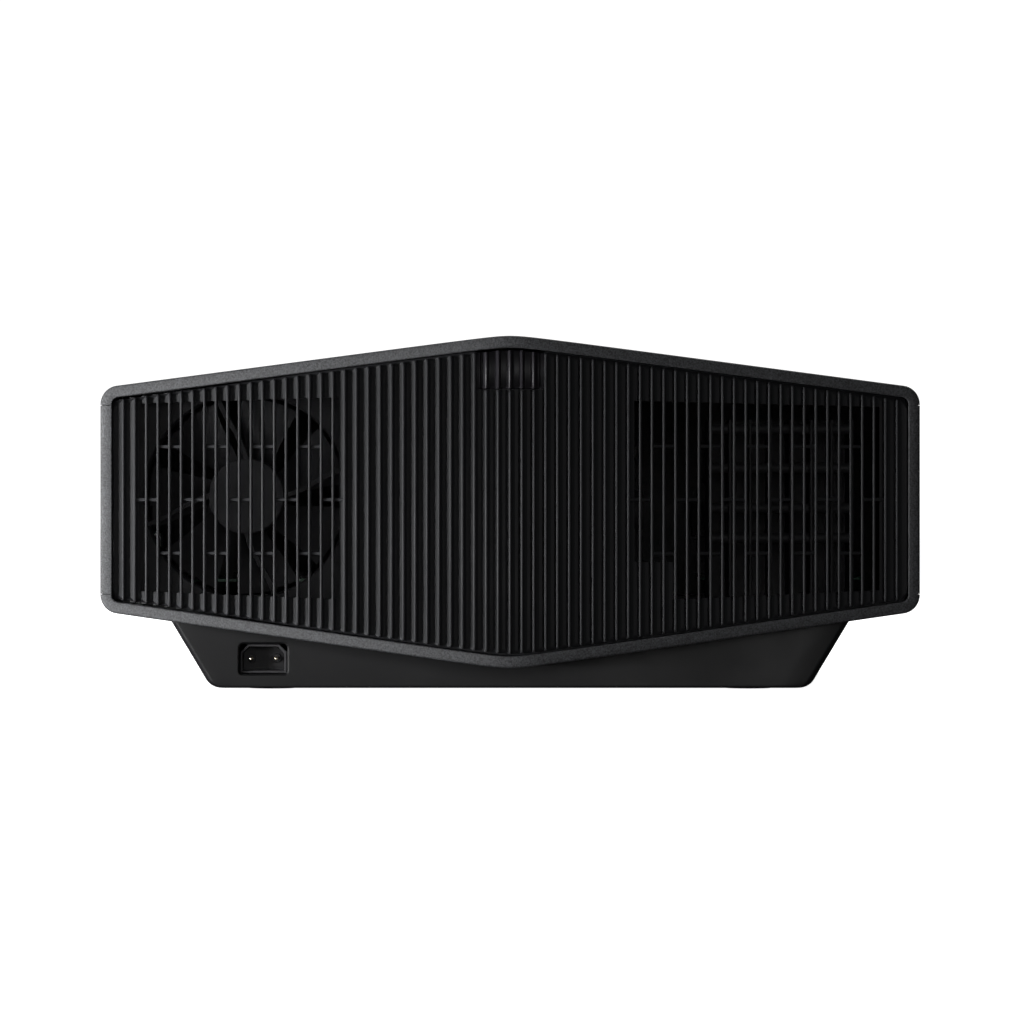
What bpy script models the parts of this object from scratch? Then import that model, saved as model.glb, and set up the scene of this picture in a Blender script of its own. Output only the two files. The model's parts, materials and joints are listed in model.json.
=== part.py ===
"""A home projector: faceted V-ended case on a plinth, with its lens, fans, light engine, boards and controls.

Metres, +Z up. The rear louvre faces -Y, the lens faces +Y, and the origin is on the floor under the centre.
"""

import math

import bmesh
import bpy
from mathutils import Matrix, Vector

# Case, as seen from behind: a hexagon with a shallow ridge and a shallow keel.
HALF_WIDTH = 0.230
TOP_CORNER_Z = 0.1696
RIDGE_Z = 0.1986
BOTTOM_CORNER_Z = 0.0441
KEEL_Z = 0.0123
RIDGE_BLEND = 0.0083
CORNER_RADIUS = 0.0105
SEAM_TOP_Z = 0.1600
SEAM_BOTTOM_Z = 0.0535
CORNER_STEPS = 5

# Case, as seen from above: both ends come to a rounded point on the centre line.
HALF_DEPTH = 0.236
REAR_V_DEPTH = 0.048
FRONT_V_DEPTH = 0.036
V_BLEND = 0.015

# Shell walls.
WALL = 0.0030
RIM_WIDTH = 0.0065
RIM_DEPTH = 0.0120
GAP = 0.0003

# Rear louvre.
SLAT_PITCH = 0.00658
SLAT_THICKNESS = 0.0020
SLATS_EACH_SIDE = 33
SLAT_RECESS = 0.0012
SLAT_DEPTH = 0.0045
LOUVRE_PLATE = 0.0020
LOUVRE_INSET = RIM_WIDTH + 0.0005
LEFT_WINDOW_SLATS = (-32, -14)
RIGHT_WINDOW_SLATS = (10, 32)
WINDOW_Z = (0.0570, 0.1575)
RIB_ROWS = ((0.1360, 12), (0.1070, 10), (0.0770, 12))
RIB_HEIGHT = 0.0016
RIB_DEPTH = 0.0032
IR_SLATS = 3
IR_HALF_WIDTH = 0.0190
IR_BOTTOM_Z = 0.1680

# Plinth and feet.
PLINTH_BOTTOM_Z = 0.0010
PLINTH_HALF_WIDTH = 0.168
PLINTH_HALF_DEPTH = 0.186
PLINTH_FLARE = 0.60
PLINTH_CORNER = 0.0045
PLINTH_WALL = 0.0030
FOOT_X = 0.135
FOOT_Y = 0.150
FOOT_RADIUS = 0.014
FOOT_HOLE_RADIUS = 0.0150

# Mains inlet, in the rear wall of the plinth.
INLET_X = -0.1386
INLET_Z = 0.0174
INLET_WIDTH = 0.0270
INLET_HEIGHT = 0.0170
INLET_DEPTH = 0.0200
PIN_SPACING = 0.0140

# Lens and its shift carriages.
LENS_Z = 0.1060
SURROUND_RADIUS = 0.0750
SURROUND_BORE = 0.0600
BARREL_RADIUS = 0.0450
RING_RADIUS = 0.0500
ELEMENT_RADIUS = 0.0400
LENS_STEPS = 36
DIAL_X = 0.0880
DIAL_Z = 0.0610
DIAL_RADIUS = 0.0080
FRONT_SLOT = (0.1120, 0.2060)
FRONT_SLOT_Z = (0.0640, 0.1480)
FRONT_SLATS = 15

# Fans: centre x, y, z of the frame, size, depth, hub radius, blade count.
INTAKE_FAN = ((-0.1490, -0.1525, 0.1088), 0.120, 0.025, 0.0215, 7)
EXHAUST_FAN = ((0.1520, 0.1300, 0.0948), 0.092, 0.025, 0.0180, 7)

# Chassis and boards.
CHASSIS_Z = 0.0470
CHASSIS_THICKNESS = 0.0015
SINK_FINS = 8
SINK_PITCH = 0.0115
SINK_FIN = 0.0018
SINK_BASE_Y = -0.1000
SINK_TOP_Z = 0.1520
HEAT_PIPE_Z = (0.0851, 0.1021, 0.1247, 0.1468)
HEAT_PIPE_Y = -0.1530
HEAT_PIPE_RADIUS = 0.0028

# Controls and terminals, on the left side panel.
TERMINAL_BAY = ((-0.120, 0.040), (0.064, 0.100))
TERMINAL_PLATE_X = -0.2205
SOCKET_Z = 0.0820
SOCKET_FRONT_X = -0.2230
SOCKET_LENGTH = 0.0150
POCKET_DEPTH = 0.0110
KEY_Z = 0.1250
KEY_RADIUS = 0.0050

PARTS = {}


def clear_scene():
    for old in list(bpy.data.objects):
        bpy.data.objects.remove(old, do_unlink=True)


def material(name, colour, roughness, metallic=0.0):
    """A Principled material of one colour, made once and shared."""
    found = bpy.data.materials.get(name)
    if found:
        return found
    made = bpy.data.materials.new(name)
    made.use_nodes = True
    shader = made.node_tree.nodes["Principled BSDF"]
    shader.inputs["Base Color"].default_value = (*colour, 1.0)
    shader.inputs["Roughness"].default_value = roughness
    shader.inputs["Metallic"].default_value = metallic
    made.diffuse_color = (*colour, 1.0)
    return made


def textured_black():
    return material("textured_black", (0.020, 0.021, 0.022), 0.62)


def satin_black():
    return material("satin_black", (0.012, 0.012, 0.013), 0.38)


def louvre_black():
    return material("louvre_black", (0.014, 0.014, 0.015), 0.45)


def dark_window():
    return material("dark_window", (0.006, 0.005, 0.006), 0.10)


def engine_black():
    return material("engine_black", (0.015, 0.015, 0.016), 0.55)


def rubber():
    return material("rubber", (0.018, 0.018, 0.018), 0.85)


def sheet_steel():
    return material("sheet_steel", (0.55, 0.56, 0.57), 0.40, 1.0)


def cast_aluminium():
    return material("cast_aluminium", (0.50, 0.51, 0.52), 0.50, 1.0)


def brass():
    return material("brass", (0.75, 0.60, 0.32), 0.30, 1.0)


def board_green():
    return material("board_green", (0.02, 0.09, 0.05), 0.50)


def glass():
    return material("glass", (0.10, 0.12, 0.16), 0.03)


def phosphor():
    return material("phosphor", (0.65, 0.55, 0.10), 0.45)


def finish(name, mesh, surface, smooth, location=(0.0, 0.0, 0.0), node=True):
    """Turns a bmesh into a named object with its faces pointing out."""
    bmesh.ops.recalc_face_normals(mesh, faces=mesh.faces)
    data = bpy.data.meshes.new(name)
    mesh.to_mesh(data)
    mesh.free()
    if smooth:
        data.shade_smooth()
        data.set_sharp_from_angle(angle=math.radians(35))
    made = bpy.data.objects.new(name, data)
    made.location = location
    bpy.context.scene.collection.objects.link(made)
    if surface:
        data.materials.append(surface)
    if node:
        PARTS[name] = made
    return made


def helper(name, mesh):
    """A shape that only cuts or joins another one."""
    made = finish(name, mesh, None, False, node=False)
    made.hide_render = True
    made.display_type = "WIRE"
    return made


def apply_shape(target, tool, operation):
    step = target.modifiers.new(tool.name, "BOOLEAN")
    step.operation = operation
    step.object = tool
    step.solver = "EXACT"


def cut(target, tool):
    apply_shape(target, tool, "DIFFERENCE")


def add(target, tool):
    apply_shape(target, tool, "UNION")


def box_into(mesh, low, high):
    centre = (Vector(low) + Vector(high)) / 2
    size = Vector(high) - Vector(low)
    bmesh.ops.create_cube(mesh, size=1.0, matrix=Matrix.Translation(centre) @ Matrix.Diagonal((*size, 1.0)))


def boxes(*corners):
    mesh = bmesh.new()
    for low, high in corners:
        box_into(mesh, low, high)
    return mesh


def prism(outline, axis, start, end):
    """A closed outline, in the two other axes' order, pushed along one axis."""

    def place(point, along):
        spot = list(point)
        spot.insert("XYZ".index(axis), along)
        return spot

    mesh = bmesh.new()
    near = [mesh.verts.new(place(point, start)) for point in outline]
    far = [mesh.verts.new(place(point, end)) for point in outline]
    mesh.faces.new(near)
    mesh.faces.new(list(reversed(far)))
    for index, vertex in enumerate(near):
        following = (index + 1) % len(near)
        mesh.faces.new((vertex, far[index], far[following], near[following]))
    return mesh


def turned(profile, axis, centre, steps):
    """A closed profile of (radius, place along the axis) points, turned all the way round.

    Points of zero radius lie on the axis and are shared by every step.
    """
    across = {"X": ((0, 1, 0), (0, 0, 1)), "Y": ((0, 0, 1), (1, 0, 0)), "Z": ((1, 0, 0), (0, 1, 0))}
    first, second = across[axis]
    along = Vector([float(letter == axis) for letter in "XYZ"])
    first, second, centre = Vector(first), Vector(second), Vector(centre)
    mesh = bmesh.new()
    on_axis = {
        index: mesh.verts.new(centre + along * height)
        for index, (radius, height) in enumerate(profile)
        if radius == 0
    }
    rings = []
    for step in range(steps):
        angle = 2 * math.pi * step / steps
        out = first * math.cos(angle) + second * math.sin(angle)
        ring = []
        for index, (radius, height) in enumerate(profile):
            ring.append(on_axis.get(index) or mesh.verts.new(centre + along * height + out * radius))
        rings.append(ring)
    for step in range(steps):
        ring, following = rings[step], rings[(step + 1) % steps]
        for index in range(len(profile)):
            after = (index + 1) % len(profile)
            corners = []
            for vertex in (ring[index], ring[after], following[after], following[index]):
                if vertex not in corners:
                    corners.append(vertex)
            if len(corners) > 2:
                mesh.faces.new(corners)
    return mesh


def cylinder(radius, axis, centre, start, end, steps):
    """start and end are places along the axis, counted from the centre."""
    return turned([(0, start), (radius, start), (radius, end), (0, end)], axis, centre, steps)


def tube(inner, outer, axis, centre, start, end, steps):
    return turned([(inner, start), (outer, start), (outer, end), (inner, end)], axis, centre, steps)


def v_run(x, depth):
    """How far a V-shaped end falls back from its point at this x."""
    slope = depth / (math.hypot(HALF_WIDTH, V_BLEND) - V_BLEND)
    return slope * (math.hypot(x, V_BLEND) - V_BLEND)


def rear_y(x):
    return -HALF_DEPTH + v_run(x, REAR_V_DEPTH)


def front_y(x):
    return HALF_DEPTH - v_run(x, FRONT_V_DEPTH)


def top_z(x, inset=0.0):
    slope = (RIDGE_Z - TOP_CORNER_Z) / HALF_WIDTH
    return RIDGE_Z - slope * math.hypot(x, RIDGE_BLEND) - inset * math.hypot(1, slope)


def bottom_z(x, inset=0.0):
    slope = (BOTTOM_CORNER_Z - KEEL_Z) / HALF_WIDTH
    return KEEL_Z + slope * math.hypot(x, RIDGE_BLEND) + inset * math.hypot(1, slope)


def corner_arc(edge_z, inset):
    """The rounded corner on the +X side, from the side wall to the top or bottom."""
    rising = edge_z is top_z
    radius = max(CORNER_RADIUS - inset, 0.0030)
    half = HALF_WIDTH - inset
    slope = (edge_z(half) - edge_z(half - 0.05)) / 0.05
    tilt = math.atan(abs(slope))
    turn = math.pi / 2 - tilt
    sign = 1 if rising else -1
    centre_x = half - radius
    centre_z = edge_z(half, inset) - sign * radius * math.hypot(1, slope) + abs(slope) * radius * sign
    points = []
    for step in range(CORNER_STEPS + 1):
        angle = turn * step / CORNER_STEPS
        points.append((centre_x + radius * math.cos(angle), centre_z + sign * radius * math.sin(angle)))
    return points


def ridge_points(edge_z, inset):
    return [(x, edge_z(x, inset)) for x in (0.040, 0.016, 0.007, 0.0, -0.007, -0.016, -0.040)]


def cap_section(edge_z, seam_z, inset):
    """The section of the top or bottom cover, from the +X seam round to the -X seam."""
    arc = corner_arc(edge_z, inset)
    start = [(HALF_WIDTH - inset, seam_z)]
    mirrored = [(-x, z) for x, z in reversed(start + arc)]
    return start + arc + ridge_points(edge_z, inset) + mirrored


def side_section(side, inset):
    x = side * (HALF_WIDTH - inset)
    return [(x, SEAM_BOTTOM_Z + GAP), (x, SEAM_TOP_Z - GAP)]


def shell(section):
    """A wall with a deeper rim at each end; section(inset) gives its outline at that inset."""
    outer, thin, rim = section(0.0), section(WALL), section(RIM_WIDTH)
    mesh = bmesh.new()
    loops = []
    for (ox, oz), (tx, tz), (rx, rz) in zip(outer, thin, rim):
        corners = (
            (ox, rear_y(ox), oz),
            (ox, front_y(ox), oz),
            (rx, front_y(rx), rz),
            (rx, front_y(rx) - RIM_DEPTH, rz),
            (tx, front_y(rx) - RIM_DEPTH, tz),
            (tx, rear_y(rx) + RIM_DEPTH, tz),
            (rx, rear_y(rx) + RIM_DEPTH, rz),
            (rx, rear_y(rx), rz),
        )
        loops.append([mesh.verts.new(corner) for corner in corners])
    for loop, following in zip(loops, loops[1:]):
        for index in range(len(loop)):
            after = (index + 1) % len(loop)
            mesh.faces.new((loop[index], loop[after], following[after], following[index]))
    mesh.faces.new(loops[0])
    mesh.faces.new(list(reversed(loops[-1])))
    return mesh


def comb(edges, teeth, back, front, tip, low, high):
    """A plate between the plan curves back and front, with teeth that reach the curve tip.

    edges are the x places of every edge, teeth are the (left, right) pairs that carry a tooth,
    and low and high give the plate's bottom and top at an x.
    """
    mesh = bmesh.new()
    made = {}

    def corner(x, curve, level):
        key = (x, curve, level)
        if key not in made:
            made[key] = mesh.verts.new((x, curve(x), level(x)))
        return made[key]

    def wall(x0, curve0, x1, curve1):
        foot = (corner(x0, curve0, low), corner(x1, curve1, low))
        head = (corner(x1, curve1, high), corner(x0, curve0, high))
        mesh.faces.new(foot + head)

    for left, right in zip(edges, edges[1:]):
        toothed = (left, right) in teeth
        for level in (low, high):
            plate = ((left, back), (right, back), (right, front), (left, front))
            mesh.faces.new([corner(x, curve, level) for x, curve in plate])
            if toothed:
                tooth = ((left, front), (right, front), (right, tip), (left, tip))
                mesh.faces.new([corner(x, curve, level) for x, curve in tooth])
        wall(left, back, right, back)
        if toothed:
            wall(left, front, left, tip)
            wall(left, tip, right, tip)
            wall(right, front, right, tip)
        else:
            wall(left, front, right, front)
    wall(edges[0], back, edges[0], front)
    wall(edges[-1], back, edges[-1], front)
    return mesh


def stations(half, count, inner=()):
    """Mirrored x places from -half to half, with count even steps and any extra places."""
    places = {round(-half + 2 * half * step / count, 6) for step in range(count + 1)}
    places |= {side * x for x in inner for side in (-1, 1)}
    return sorted(places)


# ---------------------------------------------------------------- case


def make_case():
    finish("top_cover", shell(lambda inset: cap_section(top_z, SEAM_TOP_Z, inset)), textured_black(), True)
    under = shell(lambda inset: cap_section(bottom_z, SEAM_BOTTOM_Z, inset))
    finish("bottom_cover", under, textured_black(), True)
    for side, name in ((-1, "side_panel_left"), (1, "side_panel_right")):
        finish(name, shell(lambda inset: side_section(side, inset)), textured_black(), False)
    (y0, y1), (z0, z1) = TERMINAL_BAY
    panel = PARTS["side_panel_left"]
    cut(panel, helper("terminal_bay_cutter", boxes(((-0.235, y0, z0), (-0.222, y1, z1)))))
    for index, (y, z) in enumerate(key_places().values()):
        hole = cylinder(KEY_RADIUS + 0.0004, "X", (-HALF_WIDTH, y, z), -0.005, 0.008, 16)
        cut(panel, helper(f"key_hole_cutter_{index}", hole))


def plinth_loop(half_width, half_depth, corner, level):
    """A rounded rectangle with extra points along its front and rear; level gives each point's height."""
    run = (0.110, 0.050, 0.018, 0.007, 0.0, -0.007, -0.018, -0.050, -0.110)
    points = []
    for quarter, (sx, sy) in enumerate(((1, 1), (-1, 1), (-1, -1), (1, -1))):
        for step in range(CORNER_STEPS):
            angle = math.pi / 2 * (quarter + step / (CORNER_STEPS - 1))
            points.append((
                sx * (half_width - corner) + corner * math.cos(angle),
                sy * (half_depth - corner) + corner * math.sin(angle),
            ))
        if quarter in (0, 2):
            points.extend((sy * x, sy * half_depth) for x in run)
    return [(x, y, level(x)) for x, y in points]


def make_plinth():
    """An open tray whose flared walls stop just under the keel of the case."""
    rise = KEEL_Z + (BOTTOM_CORNER_Z - KEEL_Z) * 0.82 - PLINTH_BOTTOM_Z
    flare = PLINTH_FLARE * rise
    top_half = PLINTH_HALF_WIDTH + flare

    def under_case(x):
        return bottom_z(x) - GAP

    floor = PLINTH_BOTTOM_Z + PLINTH_WALL
    wall = PLINTH_WALL
    base = plinth_loop(PLINTH_HALF_WIDTH, PLINTH_HALF_DEPTH, PLINTH_CORNER, lambda x: PLINTH_BOTTOM_Z)
    outer = plinth_loop(top_half, PLINTH_HALF_DEPTH, PLINTH_CORNER, under_case)
    inner = plinth_loop(top_half - wall, PLINTH_HALF_DEPTH - wall, PLINTH_CORNER - wall, under_case)
    tray = plinth_loop(
        PLINTH_HALF_WIDTH - wall, PLINTH_HALF_DEPTH - wall, PLINTH_CORNER - wall, lambda x: floor
    )
    mesh = bmesh.new()
    rings = [[mesh.verts.new(point) for point in loop] for loop in (base, outer, inner, tray)]
    for ring, following in zip(rings, rings[1:]):
        for index in range(len(ring)):
            after = (index + 1) % len(ring)
            mesh.faces.new((ring[index], ring[after], following[after], following[index]))
    mesh.faces.new(list(reversed(rings[0])))
    mesh.faces.new(rings[-1])
    plinth = finish("plinth_base", mesh, satin_black(), True)
    half_w, half_h = INLET_WIDTH / 2 + 0.0008, INLET_HEIGHT / 2 + 0.0008
    opening = boxes((
        (INLET_X - half_w, -PLINTH_HALF_DEPTH - 0.01, INLET_Z - half_h),
        (INLET_X + half_w, -PLINTH_HALF_DEPTH + 0.01, INLET_Z + half_h),
    ))
    cut(plinth, helper("inlet_cutter", opening))
    for side_x in (-1, 1):
        for side_y in (-1, 1):
            hole = cylinder(FOOT_HOLE_RADIUS, "Z", (side_x * FOOT_X, side_y * FOOT_Y, 0), -0.01, 0.02, 24)
            cut(plinth, helper(f"foot_cutter_{side_x}_{side_y}", hole))


def make_feet():
    """Two fixed rear feet, and two front feet whose swivel pads are driven by threaded stems."""
    for side, name in ((-1, "left"), (1, "right")):
        rear = (side * FOOT_X, -FOOT_Y, 0)
        profile = [(0, 0), (FOOT_RADIUS - 0.001, 0), (FOOT_RADIUS, 0.001), (FOOT_RADIUS, 0.0092), (0, 0.0092)]
        finish(f"rear_foot_{name}", turned(profile, "Z", rear, 24), rubber(), True)
        front = (side * FOOT_X, FOOT_Y, 0)
        profile = [
            (0, 0),
            (FOOT_RADIUS - 0.001, 0),
            (FOOT_RADIUS, 0.001),
            (FOOT_RADIUS, 0.006),
            (0.0045, 0.006),
            (0.0045, 0.003),
            (0, 0.003),
        ]
        finish(f"front_foot_pad_{name}", turned(profile, "Z", (0, 0, 0), 24), rubber(), True, front)
        neck, shaft, shaft_top = 0.0041, 0.0030, 0.0280
        profile = [(0, 0.0033), (neck, 0.0033), (neck, 0.0063), (shaft, 0.0070)]
        profile.extend([(shaft, shaft_top), (0, shaft_top)])
        finish(f"front_foot_stem_{name}", turned(profile, "Z", (0, 0, 0), 16), sheet_steel(), True, front)
        profile = [
            (0.0034, 0.0125),
            (0.0160, 0.0125),
            (0.0160, PLINTH_BOTTOM_Z + PLINTH_WALL + GAP),
            (0.0190, PLINTH_BOTTOM_Z + PLINTH_WALL + GAP),
            (0.0190, 0.0155),
            (0.0034, 0.0155),
        ]
        finish(f"front_foot_nut_{name}", turned(profile, "Z", front, 16), sheet_steel(), True)


def slat_edges(number):
    centre = number * SLAT_PITCH
    return round(centre - SLAT_THICKNESS / 2, 6), round(centre + SLAT_THICKNESS / 2, 6)


def louvre_front(x):
    return rear_y(x) + SLAT_RECESS + SLAT_DEPTH


def louvre_back(x):
    return louvre_front(x) + LOUVRE_PLATE


def slat_root(x):
    """Just inside the slats' roots, so that a window leaves no film of the plate."""
    return louvre_front(x) - 0.0004


def louvre_tip(x):
    return rear_y(x) + SLAT_RECESS


def corner_drop(x):
    """The inside corners of the rim are rounded, so the louvre's own corners are cut back there."""
    start = HALF_WIDTH - LOUVRE_INSET - 0.0042
    return max(0.0, abs(x) - start) * 1.2


def louvre_low(x):
    return bottom_z(x, LOUVRE_INSET) + corner_drop(x)


def louvre_high(x):
    return top_z(x, LOUVRE_INSET) - corner_drop(x)


def plan_block(left, right, near, far, low, high):
    """A block between two plan curves."""
    outline = [(left, near(left)), (right, near(right)), (right, far(right)), (left, far(left))]
    return prism(outline, "Z", low, high)


def make_rear_louvre():
    edges = []
    teeth = set()
    half = HALF_WIDTH - LOUVRE_INSET
    for number in range(-SLATS_EACH_SIDE, SLATS_EACH_SIDE + 1):
        pair = slat_edges(number)
        edges.extend(pair)
        teeth.add(pair)
    edges = [-half, -half + 0.0042, *edges, half - 0.0042, half]
    mesh = comb(edges, teeth, louvre_back, louvre_front, louvre_tip, louvre_low, louvre_high)
    louvre = finish("rear_louvre", mesh, louvre_black(), False)
    for name, (first, last) in (("left", LEFT_WINDOW_SLATS), ("right", RIGHT_WINDOW_SLATS)):
        left, right = (first + 0.5) * SLAT_PITCH, (last - 0.5) * SLAT_PITCH
        opening = plan_block(left, right, slat_root, lambda x: louvre_back(x) + 0.004, *WINDOW_Z)
        cut(louvre, helper(f"{name}_window_cutter", opening))
        make_ribs(louvre, name, first, last)
    notch = boxes(((-IR_HALF_WIDTH, -0.25, IR_BOTTOM_Z), (IR_HALF_WIDTH, -0.20, 0.21)))
    cut(louvre, helper("ir_cutter", notch))


def make_ribs(louvre, name, first, last):
    """Short ribs that tie the slats in threes, laid like bricks in three rows."""
    for row, (height, start) in enumerate(RIB_ROWS):
        for number in range(start, SLATS_EACH_SIDE, 4):
            span = (-number - 2, -number) if first < 0 else (number, number + 2)
            if span[0] < first or span[1] > last:
                continue
            rib = plan_block(
                span[0] * SLAT_PITCH,
                span[1] * SLAT_PITCH,
                lambda x: louvre_front(x) - RIB_DEPTH,
                lambda x: louvre_front(x) - 0.0008,
                height - RIB_HEIGHT / 2,
                height + RIB_HEIGHT / 2,
            )
            add(louvre, helper(f"{name}_rib_{row}_{number}", rib))


def make_ir_window():
    edges = [-IR_HALF_WIDTH + GAP]
    teeth = set()
    for number in range(-IR_SLATS + 1, IR_SLATS):
        pair = slat_edges(number)
        edges.extend(pair)
        teeth.add(pair)
    edges.append(IR_HALF_WIDTH - GAP)
    mesh = comb(
        edges, teeth, louvre_back, lambda x: louvre_tip(x) + 0.004, louvre_tip,
        lambda x: IR_BOTTOM_Z + GAP, louvre_high,
    )
    finish("rear_ir_window", mesh, dark_window(), False)


# ---------------------------------------------------------------- mains inlet


def make_inlet():
    """A two-pin appliance inlet with its upper corners cut off."""
    half_w, half_h = INLET_WIDTH / 2, INLET_HEIGHT / 2
    mouth_y = -PLINTH_HALF_DEPTH + 0.0006
    chamfer = 0.0040
    rim = 0.0022

    def outline(inset):
        w, h, c = half_w - inset, half_h - inset, chamfer - inset * 0.4
        flat = [(-w, -h), (w, -h), (w, h - c), (w - c, h), (-w + c, h), (-w, h - c)]
        return [(INLET_X + x, INLET_Z + z) for x, z in flat]

    block = prism(outline(0), "Y", mouth_y, mouth_y + INLET_DEPTH)
    housing = finish("inlet_housing", block, engine_black(), False)
    pocket = prism(outline(rim), "Y", mouth_y - 0.005, mouth_y + INLET_DEPTH - 0.003)
    cut(housing, helper("inlet_pocket_cutter", pocket))
    for side, name in ((-1, "left"), (1, "right")):
        x = INLET_X + side * PIN_SPACING / 2
        pin = cylinder(0.0012, "Y", (x, mouth_y, INLET_Z), 0.004, INLET_DEPTH - 0.003 - GAP, 12)
        finish(f"mains_pin_{name}", pin, brass(), True)


# ---------------------------------------------------------------- front


def panel_out(x):
    return front_y(x) - 0.0020


def panel_in(x):
    return front_y(x) - 0.0050


def dial_places():
    return {"vertical_shift_dial": -DIAL_X, "horizontal_shift_dial": DIAL_X}


def make_front():
    """The front panel, its lens surround, two exhaust louvres and the front receiver window."""
    half = HALF_WIDTH - LOUVRE_INSET
    edges = stations(half - 0.0042, 12, (half, 0.007, 0.018))
    mesh = comb(edges, set(), panel_out, panel_in, panel_in, louvre_low, louvre_high)
    panel = finish("front_panel", mesh, textured_black(), False)
    hole = cylinder(SURROUND_RADIUS + 0.0004, "Y", (0, 0, LENS_Z), 0.18, 0.26, LENS_STEPS)
    cut(panel, helper("surround_cutter", hole))
    for name, x in dial_places().items():
        bore = cylinder(DIAL_RADIUS + 0.0006, "Y", (x, 0, DIAL_Z), 0.18, 0.26, 24)
        cut(panel, helper(f"{name}_cutter", bore))
    low, high = FRONT_SLOT_Z
    pitch = (FRONT_SLOT[1] - FRONT_SLOT[0]) / FRONT_SLATS
    for side, name in ((-1, "left"), (1, "right")):
        ends = sorted(side * x for x in FRONT_SLOT)
        opening = plan_block(*ends, lambda x: panel_in(x) - 0.004, lambda x: panel_out(x) + 0.004, low, high)
        cut(panel, helper(f"{name}_slot_cutter", opening))
        edges, teeth = [ends[0] + GAP], set()
        for number in range(FRONT_SLATS):
            centre = ends[0] + (number + 0.5) * pitch
            pair = (centre - SLAT_THICKNESS / 2, centre + SLAT_THICKNESS / 2)
            edges.extend(pair)
            teeth.add(pair)
        edges.append(ends[1] - GAP)
        grille = comb(
            edges, teeth, lambda x: front_y(x) - 0.0150, lambda x: front_y(x) - 0.0135, panel_out,
            lambda x: low + GAP, lambda x: high - GAP,
        )
        louvre = finish(f"front_louvre_{name}", grille, louvre_black(), False)
        vent = plan_block(
            ends[0] + 0.004, ends[1] - 0.004, lambda x: front_y(x) - 0.0170, lambda x: front_y(x) - 0.0131,
            low + 0.0060, high - 0.0060,
        )
        cut(louvre, helper(f"front_{name}_vent_cutter", vent))
    profile = [
        (SURROUND_RADIUS, 0.1960),
        (SURROUND_RADIUS, 0.2335),
        (SURROUND_RADIUS - 0.0015, 0.2350),
        (SURROUND_RADIUS - 0.0050, 0.2350),
        (SURROUND_BORE, 0.2180),
        (SURROUND_BORE, 0.1960),
    ]
    finish("lens_surround", turned(profile, "Y", (0, 0, LENS_Z), LENS_STEPS), satin_black(), True)
    window = [(-0.0080, 0.0), (0.0080, 0.0), (0.0080, 0.0060), (-0.0080, 0.0060)]
    low_z = bottom_z(0, LOUVRE_INSET) + 0.0025
    outline = [(x, low_z + z) for x, z in window]
    receiver = prism(outline, "Y", panel_out(0) + GAP, panel_out(0) + 0.0015)
    finish("front_ir_window", receiver, dark_window(), False)


# ---------------------------------------------------------------- lens


def lens_plate(name, y_start, thickness, half_x, z_range, bore):
    """A flat plate across the lens axis with a round opening for the barrel."""
    low, high = z_range
    sheet = boxes(((-half_x, y_start, low), (half_x, y_start + thickness, high)))
    plate = finish(name, sheet, cast_aluminium(), False)
    hole = cylinder(bore, "Y", (0, y_start, LENS_Z), -0.01, 0.02, LENS_STEPS)
    cut(plate, helper(f"{name}_bore", hole))


def make_lens():
    """A mounting frame, the vertical and horizontal shift carriages, and the barrel with its two rings."""
    plate = 0.0050
    frame_y = 0.1200
    floor = CHASSIS_Z + CHASSIS_THICKNESS + GAP
    lens_plate("lens_mount_frame", frame_y, plate, 0.0750, (floor, 0.1700), 0.0560)
    vertical_y = frame_y + plate + GAP
    lens_plate("vertical_carriage", vertical_y, plate, 0.0620, (LENS_Z - 0.050, LENS_Z + 0.050), 0.0495)
    horizontal_y = vertical_y + plate + GAP
    carriage_z = (LENS_Z - 0.048, LENS_Z + 0.048)
    lens_plate("horizontal_carriage", horizontal_y, plate, 0.0550, carriage_z, BARREL_RADIUS + GAP)
    flange = horizontal_y + plate + GAP
    centre = (0, 0, LENS_Z)
    profile = [
        (ELEMENT_RADIUS + 0.0005, 0.1000),
        (BARREL_RADIUS, 0.1000),
        (BARREL_RADIUS, flange),
        (BARREL_RADIUS + 0.0070, flange),
        (BARREL_RADIUS + 0.0070, flange + 0.0040),
        (BARREL_RADIUS, flange + 0.0040),
        (BARREL_RADIUS, 0.2220),
        (BARREL_RADIUS - 0.0015, 0.2220),
        (ELEMENT_RADIUS + 0.0005, 0.2170),
    ]
    finish("lens_barrel", turned(profile, "Y", (0, 0, 0), LENS_STEPS), engine_black(), True, centre)
    ring_bore = BARREL_RADIUS + GAP
    zoom = tube(ring_bore, RING_RADIUS - 0.0005, "Y", (0, 0, 0), 0.1900, 0.2030, LENS_STEPS)
    finish("zoom_ring", zoom, rubber(), True, centre)
    focus = tube(ring_bore, RING_RADIUS, "Y", (0, 0, 0), 0.2035, 0.2185, LENS_STEPS)
    finish("focus_ring", focus, rubber(), True, centre)
    dome = [(0, 0.2050), (ELEMENT_RADIUS, 0.2050), (ELEMENT_RADIUS, 0.2100)]
    for step in range(1, 4):
        angle = math.pi / 2 * step / 4
        dome.append((ELEMENT_RADIUS * math.cos(angle), 0.2100 + 0.0070 * math.sin(angle)))
    dome.append((0, 0.2170))
    finish("front_lens_element", turned(dome, "Y", (0, 0, 0), LENS_STEPS), glass(), True, centre)
    for name, x in dial_places().items():
        y = panel_out(DIAL_X)
        profile = [
            (0, 0.1400),
            (0.0030, 0.1400),
            (0.0030, y - 0.0080),
            (DIAL_RADIUS, y - 0.0080),
            (DIAL_RADIUS, y + 0.0020),
            (DIAL_RADIUS - 0.0010, y + 0.0030),
            (0, y + 0.0030),
        ]
        finish(name, turned(profile, "Y", (0, 0, 0), 20), satin_black(), True, (x, 0, DIAL_Z))


# ---------------------------------------------------------------- cooling


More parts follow.
